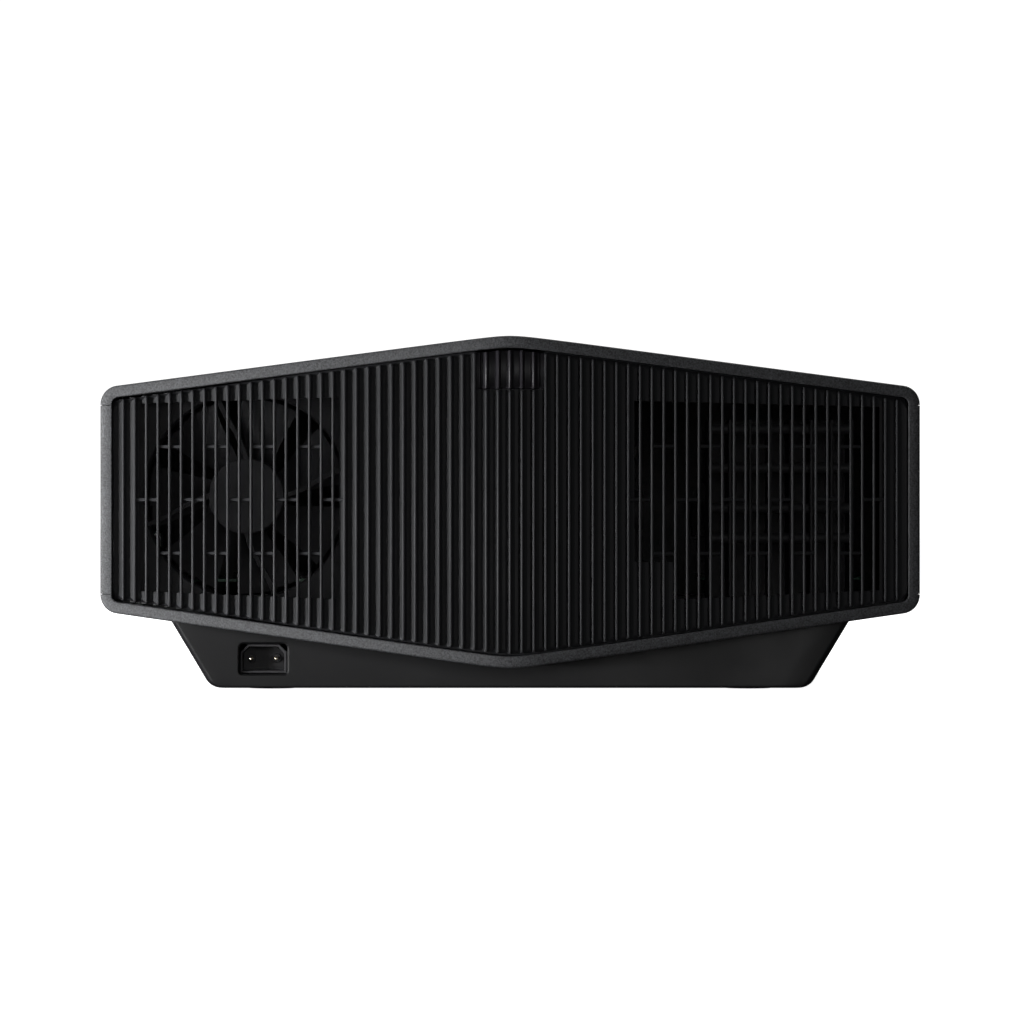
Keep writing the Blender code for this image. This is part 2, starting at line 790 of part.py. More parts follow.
def make_fan(prefix, centre, size, depth, hub, blades):
    """A square frame with a motor seat on four struts, and a bladed rotor in front of the seat."""
    half, back, front = size / 2, -depth / 2, depth / 2
    bore = half - 0.0025
    strut = 0.0030
    block = boxes(((-half, back, -half), (half, front, half)))
    frame = finish(f"{prefix}_fan_frame", block, engine_black(), False, centre)
    hole = cylinder(bore, "Y", (0, 0, 0), back - 0.01, front + 0.01, 32)
    apply_local(frame, hole, f"{prefix}_fan_bore", "DIFFERENCE", centre)
    arm = bore + 0.0012
    cross = boxes(((-arm, back, -0.0020), (arm, back + strut, 0.0020)))
    apply_local(frame, cross, f"{prefix}_fan_strut_across", "UNION", centre)
    cross = boxes(((-0.0020, back, -arm), (0.0020, back + strut, arm)))
    apply_local(frame, cross, f"{prefix}_fan_strut_up", "UNION", centre)
    seat = cylinder(hub, "Y", (0, 0, 0), back, back + strut, 24)
    apply_local(frame, seat, f"{prefix}_fan_seat", "UNION", centre)
    start, end = back + strut + 0.0005, front - 0.0010
    profile = [(0, start), (hub, start), (hub, end - 0.002), (hub - 0.002, end), (0, end)]
    rotor = finish(f"{prefix}_fan_rotor", turned(profile, "Y", (0, 0, 0), 24), engine_black(), True, centre)
    for blade in range(blades):
        turn = 2 * math.pi * blade / blades
        share = 2 * math.pi / blades
        shape = fan_blade(hub - 0.001, bore - 0.0020, start + 0.0015, end - 0.0025, turn, share)
        apply_local(rotor, shape, f"{prefix}_fan_blade_{blade}", "UNION", centre)


def apply_local(target, mesh, name, operation, centre):
    tool = helper(name, mesh)
    tool.location = centre
    apply_shape(target, tool, operation)


def fan_blade(inner, outer, low, high, turn, share):
    """One twisted blade, a thin closed strip that sweeps from low to high as it goes round."""
    mesh = bmesh.new()
    thickness = 0.0016
    rings = []
    for radius, sweep in ((inner, 0.0), ((inner + outer) / 2, 0.10), (outer, 0.16)):
        ring = []
        for angle, y in ((0.0, low), (share * 0.72, high)):
            for lift in (0.0, thickness):
                spot = turn + sweep + angle
                ring.append(mesh.verts.new((radius * math.cos(spot), y + lift, radius * math.sin(spot))))
        rings.append([ring[0], ring[2], ring[3], ring[1]])
    for ring, following in zip(rings, rings[1:]):
        for index in range(4):
            after = (index + 1) % 4
            mesh.faces.new((ring[index], ring[after], following[after], following[index]))
    mesh.faces.new(rings[0])
    mesh.faces.new(list(reversed(rings[-1])))
    bmesh.ops.triangulate(mesh, faces=mesh.faces)
    return mesh


# ---------------------------------------------------------------- light engine and electronics


def make_light_engine():
    """The sealed optical block, the laser bank with its finned sink, and the spinning phosphor wheel."""
    floor = CHASSIS_Z + CHASSIS_THICKNESS + GAP
    outline = [(-0.075, 0.020), (0.060, 0.020), (0.075, 0.035), (0.075, 0.098), (-0.075, 0.098)]
    finish("optical_engine", prism(outline, "Z", floor, 0.1400), cast_aluminium(), False)
    finish("laser_module", boxes(((0.118, -0.0997, floor), (0.188, -0.055, 0.130))), engine_black(), False)
    make_heat_sink(floor)
    wheel = (0.060, -0.030, 0.100)
    clamp, disc, half = 0.010, 0.028, 0.0006
    profile = [(0, -0.0010), (clamp, -0.0010), (clamp, -half), (disc, -half), (disc, half), (0, half)]
    finish("phosphor_wheel", turned(profile, "X", (0, 0, 0), 32), phosphor(), True, wheel)
    motor = finish("wheel_motor", cylinder(0.012, "X", wheel, 0.0010, 0.0180, 20), engine_black(), True)
    foot = boxes(((0.066, -0.036, floor), (0.074, -0.024, 0.095)))
    add(motor, helper("wheel_motor_foot", foot))


def make_heat_sink(floor):
    """Upright fins on a base plate, with four heat pipes across them."""
    left, root, tip = 0.112, -0.104, -0.160
    profile = [(left, SINK_BASE_Y)]
    for fin in range(SINK_FINS):
        x = left + fin * SINK_PITCH
        if fin:
            profile.append((x, root))
        profile.extend([(x, tip), (x + SINK_FIN, tip)])
        if fin < SINK_FINS - 1:
            profile.append((x + SINK_FIN, root))
    right = left + (SINK_FINS - 1) * SINK_PITCH + SINK_FIN
    profile.append((right, SINK_BASE_Y))
    sink = finish("laser_heat_sink", prism(profile, "Z", floor, SINK_TOP_Z), engine_black(), False)
    for number, height in enumerate(HEAT_PIPE_Z):
        start, end = left + 0.0008, right - 0.0008
        pipe = cylinder(HEAT_PIPE_RADIUS, "X", (0, HEAT_PIPE_Y, height), start, end, 12)
        add(sink, helper(f"heat_pipe_{number}", pipe))


def make_electronics():
    chassis_low = (-0.212, -0.168, CHASSIS_Z)
    chassis_high = (0.212, 0.185, CHASSIS_Z + CHASSIS_THICKNESS)
    finish("chassis_plate", boxes((chassis_low, chassis_high)), sheet_steel(), False)
    board_z, board = 0.0600, 0.0016
    sheet = boxes(((-0.203, -0.125, board_z), (-0.088, 0.055, board_z + board)))
    main = finish("main_board", sheet, board_green(), False)
    chips = ((-0.160, -0.060, 0.040, 0.0030), (-0.118, 0.015, 0.028, 0.0024), (-0.165, 0.020, 0.022, 0.0020))
    for index, (x, y, size, height) in enumerate(chips):
        chip = boxes(((x, y, board_z + 0.0005), (x + size, y + size, board_z + board + height)))
        add(main, helper(f"main_chip_{index}", chip))
    sheet = boxes(((0.112, -0.048, board_z), (0.205, 0.105, board_z + board)))
    power = finish("power_board", sheet, board_green(), False)
    transformer = boxes(((0.130, -0.020, board_z + 0.0005), (0.175, 0.020, 0.0950)))
    add(power, helper("power_transformer", transformer))
    for index in range(3):
        can = cylinder(0.0110, "Z", (0.130 + 0.028 * index, 0.070, 0), board_z + 0.0005, 0.0980, 16)
        add(power, helper(f"power_capacitor_{index}", can))
    for index, (x, y) in enumerate(((-0.195, -0.115), (-0.096, -0.115), (-0.195, 0.045), (-0.096, 0.045))):
        add(main, helper(f"main_post_{index}", board_post(x, y, board_z)))
    for index, (x, y) in enumerate(((0.120, -0.040), (0.197, -0.040), (0.120, 0.097), (0.197, 0.097))):
        add(power, helper(f"power_post_{index}", board_post(x, y, board_z)))


def make_bulkhead():
    """The inner wall that carries the exhaust fan and lets the lens through."""
    start, thickness = 0.1100, 0.0015
    floor = CHASSIS_Z + CHASSIS_THICKNESS + GAP
    half = 0.2200
    inset = WALL + 0.0010
    outline = [(-half, floor), (half, floor)]
    outline += [(x, top_z(x, inset)) for x in (half, 0.016, 0.007, 0.0, -0.007, -0.016, -half)]
    wall = finish("fan_bulkhead", prism(outline, "Y", start, start + thickness), engine_black(), False)
    lens_hole = cylinder(0.0540, "Y", (0, start, LENS_Z), -0.01, 0.02, LENS_STEPS)
    cut(wall, helper("bulkhead_lens_hole", lens_hole))
    (x, _, z), size = EXHAUST_FAN[0], EXHAUST_FAN[1]
    fan_hole = cylinder(size / 2 - 0.0030, "Y", (x, start, z), -0.01, 0.02, 32)
    cut(wall, helper("bulkhead_fan_hole", fan_hole))


def board_post(x, y, board_z):
    floor = CHASSIS_Z + CHASSIS_THICKNESS + GAP
    return boxes(((x - 0.003, y - 0.003, floor), (x + 0.003, y + 0.003, board_z + 0.0005)))


def socket_places():
    """Each socket's name, then its place along Y, its width, its height and its wall."""
    return (
        ("lan_socket", -0.100, 0.0160, 0.0135, 0.0010),
        ("usb_socket", -0.074, 0.0145, 0.0074, 0.0010),
        ("hdmi_socket_1", -0.048, 0.0165, 0.0072, 0.0010),
        ("hdmi_socket_2", -0.023, 0.0165, 0.0072, 0.0010),
        ("serial_socket", 0.003, 0.0240, 0.0120, 0.0015),
        ("trigger_socket", 0.026, 0.0100, 0.0100, 0.0020),
    )


def make_terminals():
    """A plate behind the terminal bay, with one open-mouthed socket in each of its cut-outs."""
    (y0, y1), (z0, z1) = TERMINAL_BAY
    margin = 0.0060
    low = (TERMINAL_PLATE_X, y0 - margin, z0 - margin)
    high = (TERMINAL_PLATE_X + 0.0015, y1 + margin, z1 + margin)
    plate = finish("terminal_plate", boxes((low, high)), satin_black(), False)
    for name, y, width, height, wall in socket_places():
        half_w, half_h = width / 2, height / 2
        back = SOCKET_FRONT_X + SOCKET_LENGTH
        body = boxes(((SOCKET_FRONT_X, y - half_w, SOCKET_Z - half_h), (back, y + half_w, SOCKET_Z + half_h)))
        socket = finish(name, body, sheet_steel(), False)
        inner_w, inner_h = half_w - wall, half_h - wall
        pocket = boxes((
            (SOCKET_FRONT_X - 0.005, y - inner_w, SOCKET_Z - inner_h),
            (SOCKET_FRONT_X + POCKET_DEPTH, y + inner_w, SOCKET_Z + inner_h),
        ))
        cut(socket, helper(f"{name}_pocket", pocket))
        hole = boxes((
            (TERMINAL_PLATE_X - 0.01, y - half_w - GAP, SOCKET_Z - half_h - GAP),
            (TERMINAL_PLATE_X + 0.01, y + half_w + GAP, SOCKET_Z + half_h + GAP),
        ))
        cut(plate, helper(f"{name}_hole", hole))


def key_places():
    """The control keys' names, with their places along Y and Z."""
    centre, reach = -0.010, 0.0125
    return {
        "key_power": (-0.112, KEY_Z),
        "key_input": (-0.084, KEY_Z),
        "key_menu": (-0.056, KEY_Z),
        "key_up": (centre, KEY_Z + reach),
        "key_down": (centre, KEY_Z - reach),
        "key_left": (centre - reach, KEY_Z),
        "key_right": (centre + reach, KEY_Z),
        "key_enter": (centre, KEY_Z),
    }


def make_keys():
    """Round keys that sit flush in the side panel, each with a flange behind the wall."""
    profile = [
        (0, 0.0002),
        (KEY_RADIUS - 0.0006, 0.0002),
        (KEY_RADIUS, 0.0008),
        (KEY_RADIUS, WALL + 0.0004),
        (KEY_RADIUS + 0.0010, WALL + 0.0004),
        (KEY_RADIUS + 0.0010, WALL + 0.0016),
        (0, WALL + 0.0016),
    ]
    for name, (y, z) in key_places().items():
        finish(name, turned(profile, "X", (0, 0, 0), 16), satin_black(), True, (-HALF_WIDTH, y, z))


def main():
    clear_scene()
    make_case()
    make_plinth()
    make_feet()
    make_rear_louvre()
    make_ir_window()
    make_inlet()
    make_front()
    make_lens()
    make_fan("intake", *INTAKE_FAN)
    make_fan("exhaust", *EXHAUST_FAN)
    make_light_engine()
    make_electronics()
    make_bulkhead()
    make_terminals()
    make_keys()


main()
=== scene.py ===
"""Looks of the home projector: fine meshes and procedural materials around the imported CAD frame.

Metres, +Z up, the rear louvre faces -Y and the lens faces +Y, as in the CAD.
"""

import json
import math
import random

import bmesh
import bpy
from mathutils import Matrix, Vector

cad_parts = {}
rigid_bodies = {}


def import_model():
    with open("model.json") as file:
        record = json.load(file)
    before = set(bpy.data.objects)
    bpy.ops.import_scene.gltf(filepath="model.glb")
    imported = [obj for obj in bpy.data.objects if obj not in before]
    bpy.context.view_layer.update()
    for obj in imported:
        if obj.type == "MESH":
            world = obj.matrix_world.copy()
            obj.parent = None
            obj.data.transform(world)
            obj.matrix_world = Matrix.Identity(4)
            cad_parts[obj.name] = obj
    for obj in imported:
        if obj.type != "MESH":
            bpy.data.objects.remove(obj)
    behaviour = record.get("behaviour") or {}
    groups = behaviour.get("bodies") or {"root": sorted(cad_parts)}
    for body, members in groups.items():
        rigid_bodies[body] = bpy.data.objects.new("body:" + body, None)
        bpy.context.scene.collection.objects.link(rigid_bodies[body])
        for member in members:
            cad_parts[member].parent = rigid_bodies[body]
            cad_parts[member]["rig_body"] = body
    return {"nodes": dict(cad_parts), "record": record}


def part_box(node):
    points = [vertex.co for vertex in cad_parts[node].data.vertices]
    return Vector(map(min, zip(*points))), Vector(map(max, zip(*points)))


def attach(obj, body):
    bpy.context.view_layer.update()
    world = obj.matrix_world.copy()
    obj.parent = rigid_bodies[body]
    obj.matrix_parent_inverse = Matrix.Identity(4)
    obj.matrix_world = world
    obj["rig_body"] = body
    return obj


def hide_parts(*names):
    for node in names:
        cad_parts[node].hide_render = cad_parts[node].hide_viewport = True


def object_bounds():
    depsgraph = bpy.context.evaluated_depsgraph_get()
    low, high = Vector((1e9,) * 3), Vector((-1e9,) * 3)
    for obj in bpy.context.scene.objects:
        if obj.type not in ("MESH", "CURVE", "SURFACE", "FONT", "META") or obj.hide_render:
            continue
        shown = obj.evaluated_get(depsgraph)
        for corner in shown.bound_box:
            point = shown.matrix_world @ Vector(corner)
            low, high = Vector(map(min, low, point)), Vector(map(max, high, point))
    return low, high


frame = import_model()
cad_low, cad_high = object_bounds()

# Case outline, as in the CAD.
HALF_WIDTH = cad_high.x
HALF_DEPTH = cad_high.y
TOP_CORNER_Z = 0.1696
RIDGE_Z = 0.1986
BOTTOM_CORNER_Z = 0.0441
KEEL_Z = 0.0123
RIDGE_BLEND = 0.0083
CORNER_RADIUS = 0.0105
SEAM_TOP_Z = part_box("top_cover")[0].z
SEAM_BOTTOM_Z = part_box("bottom_cover")[1].z
REAR_V_DEPTH = 0.048
FRONT_V_DEPTH = 0.036
V_BLEND = 0.015
WALL = 0.0030
RIM_WIDTH = 0.0065
RIM_DEPTH = 0.0120
SEAM_GAP = 0.0004

# Rear louvre.
SLAT_PITCH = 0.00658
SLATS_EACH_SIDE = 33
SLAT_HALF = 0.00075
SLAT_DEPTH = 0.0045
NOSE_RADIUS = 0.00060
ROOT_FLARE = 0.0022
ROOT_RUN = 0.0021
ROOT_OVERLAP = 0.0002
SLAT_RECESS = 0.0012
LOUVRE_PLATE = 0.0020
LOUVRE_INSET = RIM_WIDTH + 0.0005
SLAT_INSET = RIM_WIDTH + 0.0014
# Each window: its first and last slat, then the heights of its bottom and top at its outer and inner ends.
WINDOWS = {
    "left": (-32, -14, (0.0555, 0.1608), (0.0511, 0.1640)),
    "right": (10, 32, (0.0560, 0.1588), (0.0501, 0.1619)),
}
WINDOW_STEP_X = 0.0908
WINDOW_STEP_Z = 0.0720
RIB_ROWS = ((0.1365, 12), (0.1068, 10), (0.0768, 12))
IR_HALF_WIDTH = 0.0190
IR_BOTTOM_Z = 0.1680

# Plinth, inlet and feet.
PLINTH_BOTTOM_Z = 0.0010
PLINTH_HALF_WIDTH = 0.168
PLINTH_HALF_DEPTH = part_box("plinth_base")[1].y
PLINTH_FLARE = 0.60
PLINTH_ROUND = 0.0100
PLINTH_EDGE = 0.0012
PLINTH_CORNER = 0.0040
PLINTH_WALL = 0.0030
FOOT_X = 0.135
FOOT_Y = 0.150
FOOT_RADIUS = 0.0140
FOOT_HOLE = 0.0150
INLET_X = -0.1386
INLET_Z = 0.0174
INLET_HALF_WIDTH = 0.0135
INLET_HALF_HEIGHT = 0.0085
PIN_SPACING = 0.0140

# Front and lens.
LENS_Z = 0.1060
LENS_CENTRE = (0, 0, LENS_Z)
SURROUND_RADIUS = 0.0750
SURROUND_BORE = 0.0600
SURROUND_BACK_Y = 0.1960
SURROUND_FRONT_Y = 0.2350
BARREL_RADIUS = 0.0450
ELEMENT_RADIUS = 0.0400
PANEL_RECESS = 0.0020
PANEL_THICKNESS = 0.0030
DIAL_X = 0.0880
DIAL_Z = 0.0610
DIAL_RADIUS = 0.0080
FRONT_SLOT = (0.1120, 0.2060)
FRONT_SLOT_Z = (0.0640, 0.1480)
FRONT_SLATS = 15

# Terminals and keys.
TERMINAL_BAY = ((-0.120, 0.040), (0.064, 0.100))
SOCKET_Z = 0.0820
SOCKET_WALL = 0.0006
SOCKET_DEPTH = 0.0090
KEY_Z = 0.1250
KEY_RADIUS = 0.0050

# Cooling: centre of each fan's frame, its size, depth, hub radius and blade count.
INTAKE_FAN = ((-0.1490, -0.1525, 0.1088), 0.120, 0.025, 0.0215, 7)
EXHAUST_FAN = ((0.1520, 0.1300, 0.0948), 0.092, 0.025, 0.0180, 7)
FAN_WALL = 0.0025
FAN_STRUT = 0.0030
SINK_FINS = 8
SINK_PITCH = 0.0115
FIN_HALF = 0.0009
SINK_ROOT_Y = -0.1040
HEAT_PIPE_Z = (0.0851, 0.1021, 0.1247, 0.1468)
HEAT_PIPE_Y = -0.1530
HEAT_PIPE_RADIUS = 0.0028

# Circuit boards: each one's level and thickness, its area in plan, its blocks (corner, size, height) and its
# capacitors (place, radius, height).
BOARD_Z = 0.0600
BOARD_TOP = 0.0616
MAIN_BOARD = (-0.203, -0.125, -0.088, 0.055)
MAIN_CHIPS = (
    (-0.160, -0.060, 0.040, 0.040, 0.0030),
    (-0.118, 0.015, 0.028, 0.028, 0.0024),
    (-0.165, 0.020, 0.022, 0.022, 0.0020),
)
MAIN_CANS = tuple((x, y, 0.0030, 0.0030) for x, y in ((-0.192, -0.090), (-0.184, -0.090), (-0.100, -0.100)))
POWER_BOARD = (0.112, -0.048, 0.205, 0.105)
TRANSFORMER = ((0.130, -0.020, 0.045, 0.040, 0.0334),)
POWER_CANS = tuple((0.130 + 0.028 * index, 0.070, 0.0110, 0.0364) for index in range(3))
PIN_PITCH = 0.0013

# Camera: eye height, distance from the rear rim and the width of the picture at that distance.
HORIZON_Z = 0.1060
CAMERA_DISTANCE = 3.43
FRAME_WIDTH = 0.5668


# ---------------------------------------------------------------- materials


def add_node(tree, kind, **values):
    """A shader node with the given inputs and settings."""
    node = tree.nodes.new(kind)
    for key, value in values.items():
        if key in node.inputs:
            node.inputs[key].default_value = value
        else:
            setattr(node, key, value)
    return node


def noise(tree, place, scale, detail=2.0, roughness=0.5):
    """A noise texture's value."""
    node = add_node(tree, "ShaderNodeTexNoise", Scale=scale, Detail=detail, Roughness=roughness)
    tree.links.new(place, node.inputs["Vector"])
    return node.outputs["Fac"]


def spread(tree, value, low, high, start=0.3, end=0.7):
    """Maps a noise value onto a wanted range."""
    node = add_node(tree, "ShaderNodeMapRange")
    node.inputs["From Min"].default_value = start
    node.inputs["From Max"].default_value = end
    node.inputs["To Min"].default_value = low
    node.inputs["To Max"].default_value = high
    tree.links.new(value, node.inputs["Value"])
    return node.outputs["Result"]


def surface(name, colour, roughness, grain=0.0008, height=0.00003, speckle=0.15, wear=0.25, metallic=0.0,
            brushed=None, coat=0.0, specular=0.5, transmission=0.0):
    """A material with moulded or rolled grain, speckled colour, uneven gloss and lighter worn edges.

    grain is the size of the grain and height its depth; brushed stretches it along one axis.
    """
    made = bpy.data.materials.new(name)
    made.use_nodes = True
    tree = made.node_tree
    shader = tree.nodes["Principled BSDF"]
    shader.inputs["Metallic"].default_value = metallic
    shader.inputs["Coat Weight"].default_value = coat
    shader.inputs["Coat Roughness"].default_value = 0.08
    shader.inputs["Specular IOR Level"].default_value = specular
    shader.inputs["Transmission Weight"].default_value = transmission
    place = add_node(tree, "ShaderNodeTexCoord").outputs["Object"]
    stretched = place
    if brushed:
        mapping = add_node(tree, "ShaderNodeMapping")
        mapping.inputs["Scale"].default_value = brushed
        tree.links.new(place, mapping.inputs["Vector"])
        stretched = mapping.outputs["Vector"]
    fine = noise(tree, stretched, 1.0 / grain, 3.0, 0.6)
    cloud = noise(tree, place, 22.0, 3.0)
    tree.links.new(spread(tree, cloud, roughness - 0.05, roughness + 0.06), shader.inputs["Roughness"])
    tint = add_node(tree, "ShaderNodeMix", data_type="RGBA")
    dark = [channel * (1 - speckle) for channel in colour]
    light = [min(1.0, channel * (1 + speckle)) for channel in colour]
    set_colour(tint, "A", dark)
    set_colour(tint, "B", light)
    tree.links.new(spread(tree, fine, 0.0, 1.0, 0.35, 0.65), tint.inputs["Factor"])
    worn = add_node(tree, "ShaderNodeMix", data_type="RGBA")
    set_colour(worn, "B", [min(1.0, channel * 2.2 + 0.01) for channel in colour])
    tree.links.new(colour_out(tint), colour_in(worn, "A"))
    edge = spread(tree, add_node(tree, "ShaderNodeNewGeometry").outputs["Pointiness"], 0.0, wear, 0.52, 0.62)
    tree.links.new(edge, worn.inputs["Factor"])
    tree.links.new(colour_out(worn), shader.inputs["Base Color"])
    bump = add_node(tree, "ShaderNodeBump", Strength=1.0, Distance=height)
    tree.links.new(fine, bump.inputs["Height"])
    tree.links.new(bump.outputs["Normal"], shader.inputs["Normal"])
    return made


def colour_in(mix, letter):
    """A mix node's colour input A or B."""
    return [socket for socket in mix.inputs if socket.name == letter and socket.type == "RGBA"][0]


def colour_out(mix):
    """A mix node's colour output."""
    return [socket for socket in mix.outputs if socket.type == "RGBA"][0]


def set_colour(mix, letter, colour):
    """Sets a mix node's colour input."""
    colour_in(mix, letter).default_value = (*colour, 1)


SURFACES = {
    "textured_black": surface("textured_black", (0.031, 0.032, 0.035), 0.58, 0.00095, 0.00020, 0.80, 0.06),
    "satin_black": surface(
        "satin_black", (0.0056, 0.0056, 0.0061), 0.42, 0.0005, 0.000006, 0.12, 0.2, specular=0.24,
    ),
    "louvre_black": surface(
        "louvre_black", (0.021, 0.0215, 0.0235), 0.55, 0.0006, 0.000006, 0.12, 0.12, specular=0.25,
    ),
    "dark_window": surface(
        "dark_window", (0.013, 0.012, 0.015), 0.42, 0.0010, 0.000002, 0.05, 0.1, specular=0.35,
    ),
    "engine_black": surface(
        "engine_black", (0.024, 0.0236, 0.026), 0.60, 0.0006, 0.00001, 0.15, 0.1, specular=0.3,
    ),
    "rubber": surface("rubber", (0.016, 0.016, 0.016), 0.82, 0.0007, 0.00003, 0.25, 0.3),
    "sheet_steel": surface(
        "sheet_steel", (0.46, 0.47, 0.48), 0.36, 0.0006, 0.000004, 0.08, 0.2, 1.0, (1, 0.06, 1),
    ),
    "cast_aluminium": surface("cast_aluminium", (0.42, 0.43, 0.44), 0.52, 0.0009, 0.00002, 0.1, 0.2, 1.0),
    "brass": surface("brass", (0.74, 0.66, 0.50), 0.26, 0.0005, 0.000003, 0.06, 0.2, 1.0, (1, 0.1, 1)),
    "board_green": surface("board_green", (0.015, 0.075, 0.040), 0.42, 0.0012, 0.00001, 0.25, 0.1, coat=0.3),
    "glass": surface(
        "glass", (0.030, 0.020, 0.050), 0.07, 0.0020, 0.0000005, 0.05, 0.0, coat=1.0, specular=0.9,
    ),
    "phosphor": surface("phosphor", (0.62, 0.52, 0.10), 0.48, 0.0008, 0.00001, 0.15, 0.1),
}


# ---------------------------------------------------------------- mesh tools


def sine(degrees):
    """The sine of an angle in degrees."""
    return math.sin(math.radians(degrees))


def cosine(degrees):
    """The cosine of an angle in degrees."""
    return math.cos(math.radians(degrees))


def placed(name, mesh):
    """Turns a working mesh into an object in the scene."""
    data = bpy.data.meshes.new(name)
    mesh.to_mesh(data)
    mesh.free()
    made = bpy.data.objects.new(name, data)
    bpy.context.scene.collection.objects.link(made)
    return made


def keep(piece, slot, nodes, angle, body="root"):
    """Shades and colours a piece, and ties it to its CAD body and to the nodes that it replaces."""
    piece.data.materials.clear()
    piece.data.materials.append(SURFACES[slot])
    piece.data.shade_smooth()
    piece.data.set_sharp_from_angle(angle=math.radians(angle))
    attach(piece, body)
    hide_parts(*nodes)
    return piece


def make(name, mesh, slot, body="root", replaces=(), angle=35, weld=True):
    """A finished piece with outward faces; welding joins points that fall together."""
    if weld:
        bmesh.ops.remove_doubles(mesh, verts=mesh.verts, dist=1e-7)
    bmesh.ops.recalc_face_normals(mesh, faces=mesh.faces)
    return keep(placed(name, mesh), slot, replaces, angle, body)


def make_fine(node, mesh, slot, body="root", angle=35, weld=True):
    """The fine version of one CAD node."""
    return make(f"{node}_fine", mesh, slot, body, [node], angle, weld)


def carve(target, mesh):
    """Cuts a shape away, and keeps the result as the piece's own mesh."""
    bmesh.ops.recalc_face_normals(mesh, faces=mesh.faces)
    tool = placed("tool", mesh)
    step = target.modifiers.new("carve", "BOOLEAN")
    step.operation, step.object, step.solver = "DIFFERENCE", tool, "EXACT"
    bpy.context.view_layer.update()
    shaped = bpy.data.meshes.new_from_object(target.evaluated_get(bpy.context.evaluated_depsgraph_get()))
    target.modifiers.clear()
    target.data = shaped
    spent = tool.data
    bpy.data.objects.remove(tool, do_unlink=True)
    bpy.data.meshes.remove(spent)


def box_into(mesh, low, high):
    """A plain block between two corners."""
    centre = (Vector(low) + Vector(high)) / 2
    size = Vector(high) - Vector(low)
    bmesh.ops.create_cube(mesh, size=1.0, matrix=Matrix.Translation(centre) @ Matrix.Diagonal((*size, 1.0)))


def spot(point, axis, along):
    """A point given in the two other axes' order, at a place along the axis."""
    placed = list(point)
    placed.insert("XYZ".index(axis), along)
    return placed


def prism_into(mesh, outline, axis, start, end):
    """An outline drawn out along an axis."""
    near = [mesh.verts.new(spot(point, axis, start)) for point in outline]
    far = [mesh.verts.new(spot(point, axis, end)) for point in outline]
    mesh.faces.new(near)
    mesh.faces.new(list(reversed(far)))
    for index, vertex in enumerate(near):
        after = (index + 1) % len(near)
        mesh.faces.new((vertex, far[index], far[after], near[after]))


def prism(outline, axis, start, end):
    """A new mesh with one drawn-out outline."""
    mesh = bmesh.new()
    prism_into(mesh, outline, axis, start, end)
    return mesh


AXES = {"X": ((0, 1, 0), (0, 0, 1)), "Y": ((0, 0, 1), (1, 0, 0)), "Z": ((1, 0, 0), (0, 1, 0))}


def turned_into(mesh, profile, axis, centre, steps, ripple=None):
    """Turns a closed profile of (radius, place along the axis); ripple(angle, index) adds to a radius."""
    first, second = (Vector(v) for v in AXES[axis])
    along = Vector([float(letter == axis) for letter in "XYZ"])
    centre = Vector(centre)
    shared = {i: mesh.verts.new(centre + along * h) for i, (r, h) in enumerate(profile) if r == 0}
    rings = []
    for step in range(steps):
        angle = 2 * math.pi * step / steps
        out = first * math.cos(angle) + second * math.sin(angle)
        ring = []
        for index, (radius, height) in enumerate(profile):
            reach = radius + (ripple(angle, index) if ripple else 0.0)
            ring.append(shared.get(index) or mesh.verts.new(centre + along * height + out * reach))
        rings.append(ring)
    for step in range(steps):
        ring, following = rings[step], rings[(step + 1) % steps]
        for index in range(len(profile)):
            after = (index + 1) % len(profile)
            corners = []
            for vertex in (ring[index], ring[after], following[after], following[index]):
                if vertex not in corners:
                    corners.append(vertex)
            if len(corners) > 2:
                mesh.faces.new(corners)


def turned(profile, axis, centre, steps, ripple=None):
    """A new mesh with one turned profile."""
    mesh = bmesh.new()
    turned_into(mesh, profile, axis, centre, steps, ripple)
    return mesh


def arc(centre, radius, start, end, steps):
    """Points on a round stretch, angles in degrees."""
    return [
        (
            centre[0] + radius * cosine(start + (end - start) * step / steps),
            centre[1] + radius * sine(start + (end - start) * step / steps),
        )
        for step in range(steps + 1)
    ]


def grid_faces(mesh, rows, closed=False):
    """Quads between consecutive rows of vertices; closed joins each row's end to its start."""
    for row, following in zip(rows, rows[1:]):
        count = len(row) if closed else len(row) - 1
        for index in range(count):
            after = (index + 1) % len(row)
            mesh.faces.new((row[index], row[after], following[after], following[index]))


def solid_faces(mesh, rows):
    """A closed skin: quads between closed rows, and a face over each end."""
    grid_faces(mesh, rows, closed=True)
    mesh.faces.new(rows[0])
    mesh.faces.new(list(reversed(rows[-1])))


# ---------------------------------------------------------------- case outline


def v_run(x, depth):
    """How far a V-shaped end has fallen back at x, with its middle rounded."""
    slope = depth / (math.hypot(HALF_WIDTH, V_BLEND) - V_BLEND)
    return slope * (math.hypot(x, V_BLEND) - V_BLEND)


def rear_y(x):
    """The rear rim's place at x."""
    return -HALF_DEPTH + v_run(x, REAR_V_DEPTH)


def front_y(x):
    """The front rim's place at x."""
    return HALF_DEPTH - v_run(x, FRONT_V_DEPTH)


def top_z(x, inset=0.0):
    """The top cover's height at x, its ridge rounded."""
    slope = (RIDGE_Z - TOP_CORNER_Z) / HALF_WIDTH
    return RIDGE_Z - slope * math.hypot(x, RIDGE_BLEND) - inset * math.hypot(1, slope)


def bottom_z(x, inset=0.0):
    """The bottom cover's height at x, its keel rounded."""
    slope = (BOTTOM_CORNER_Z - KEEL_Z) / HALF_WIDTH
    return KEEL_Z + slope * math.hypot(x, RIDGE_BLEND) + inset * math.hypot(1, slope)


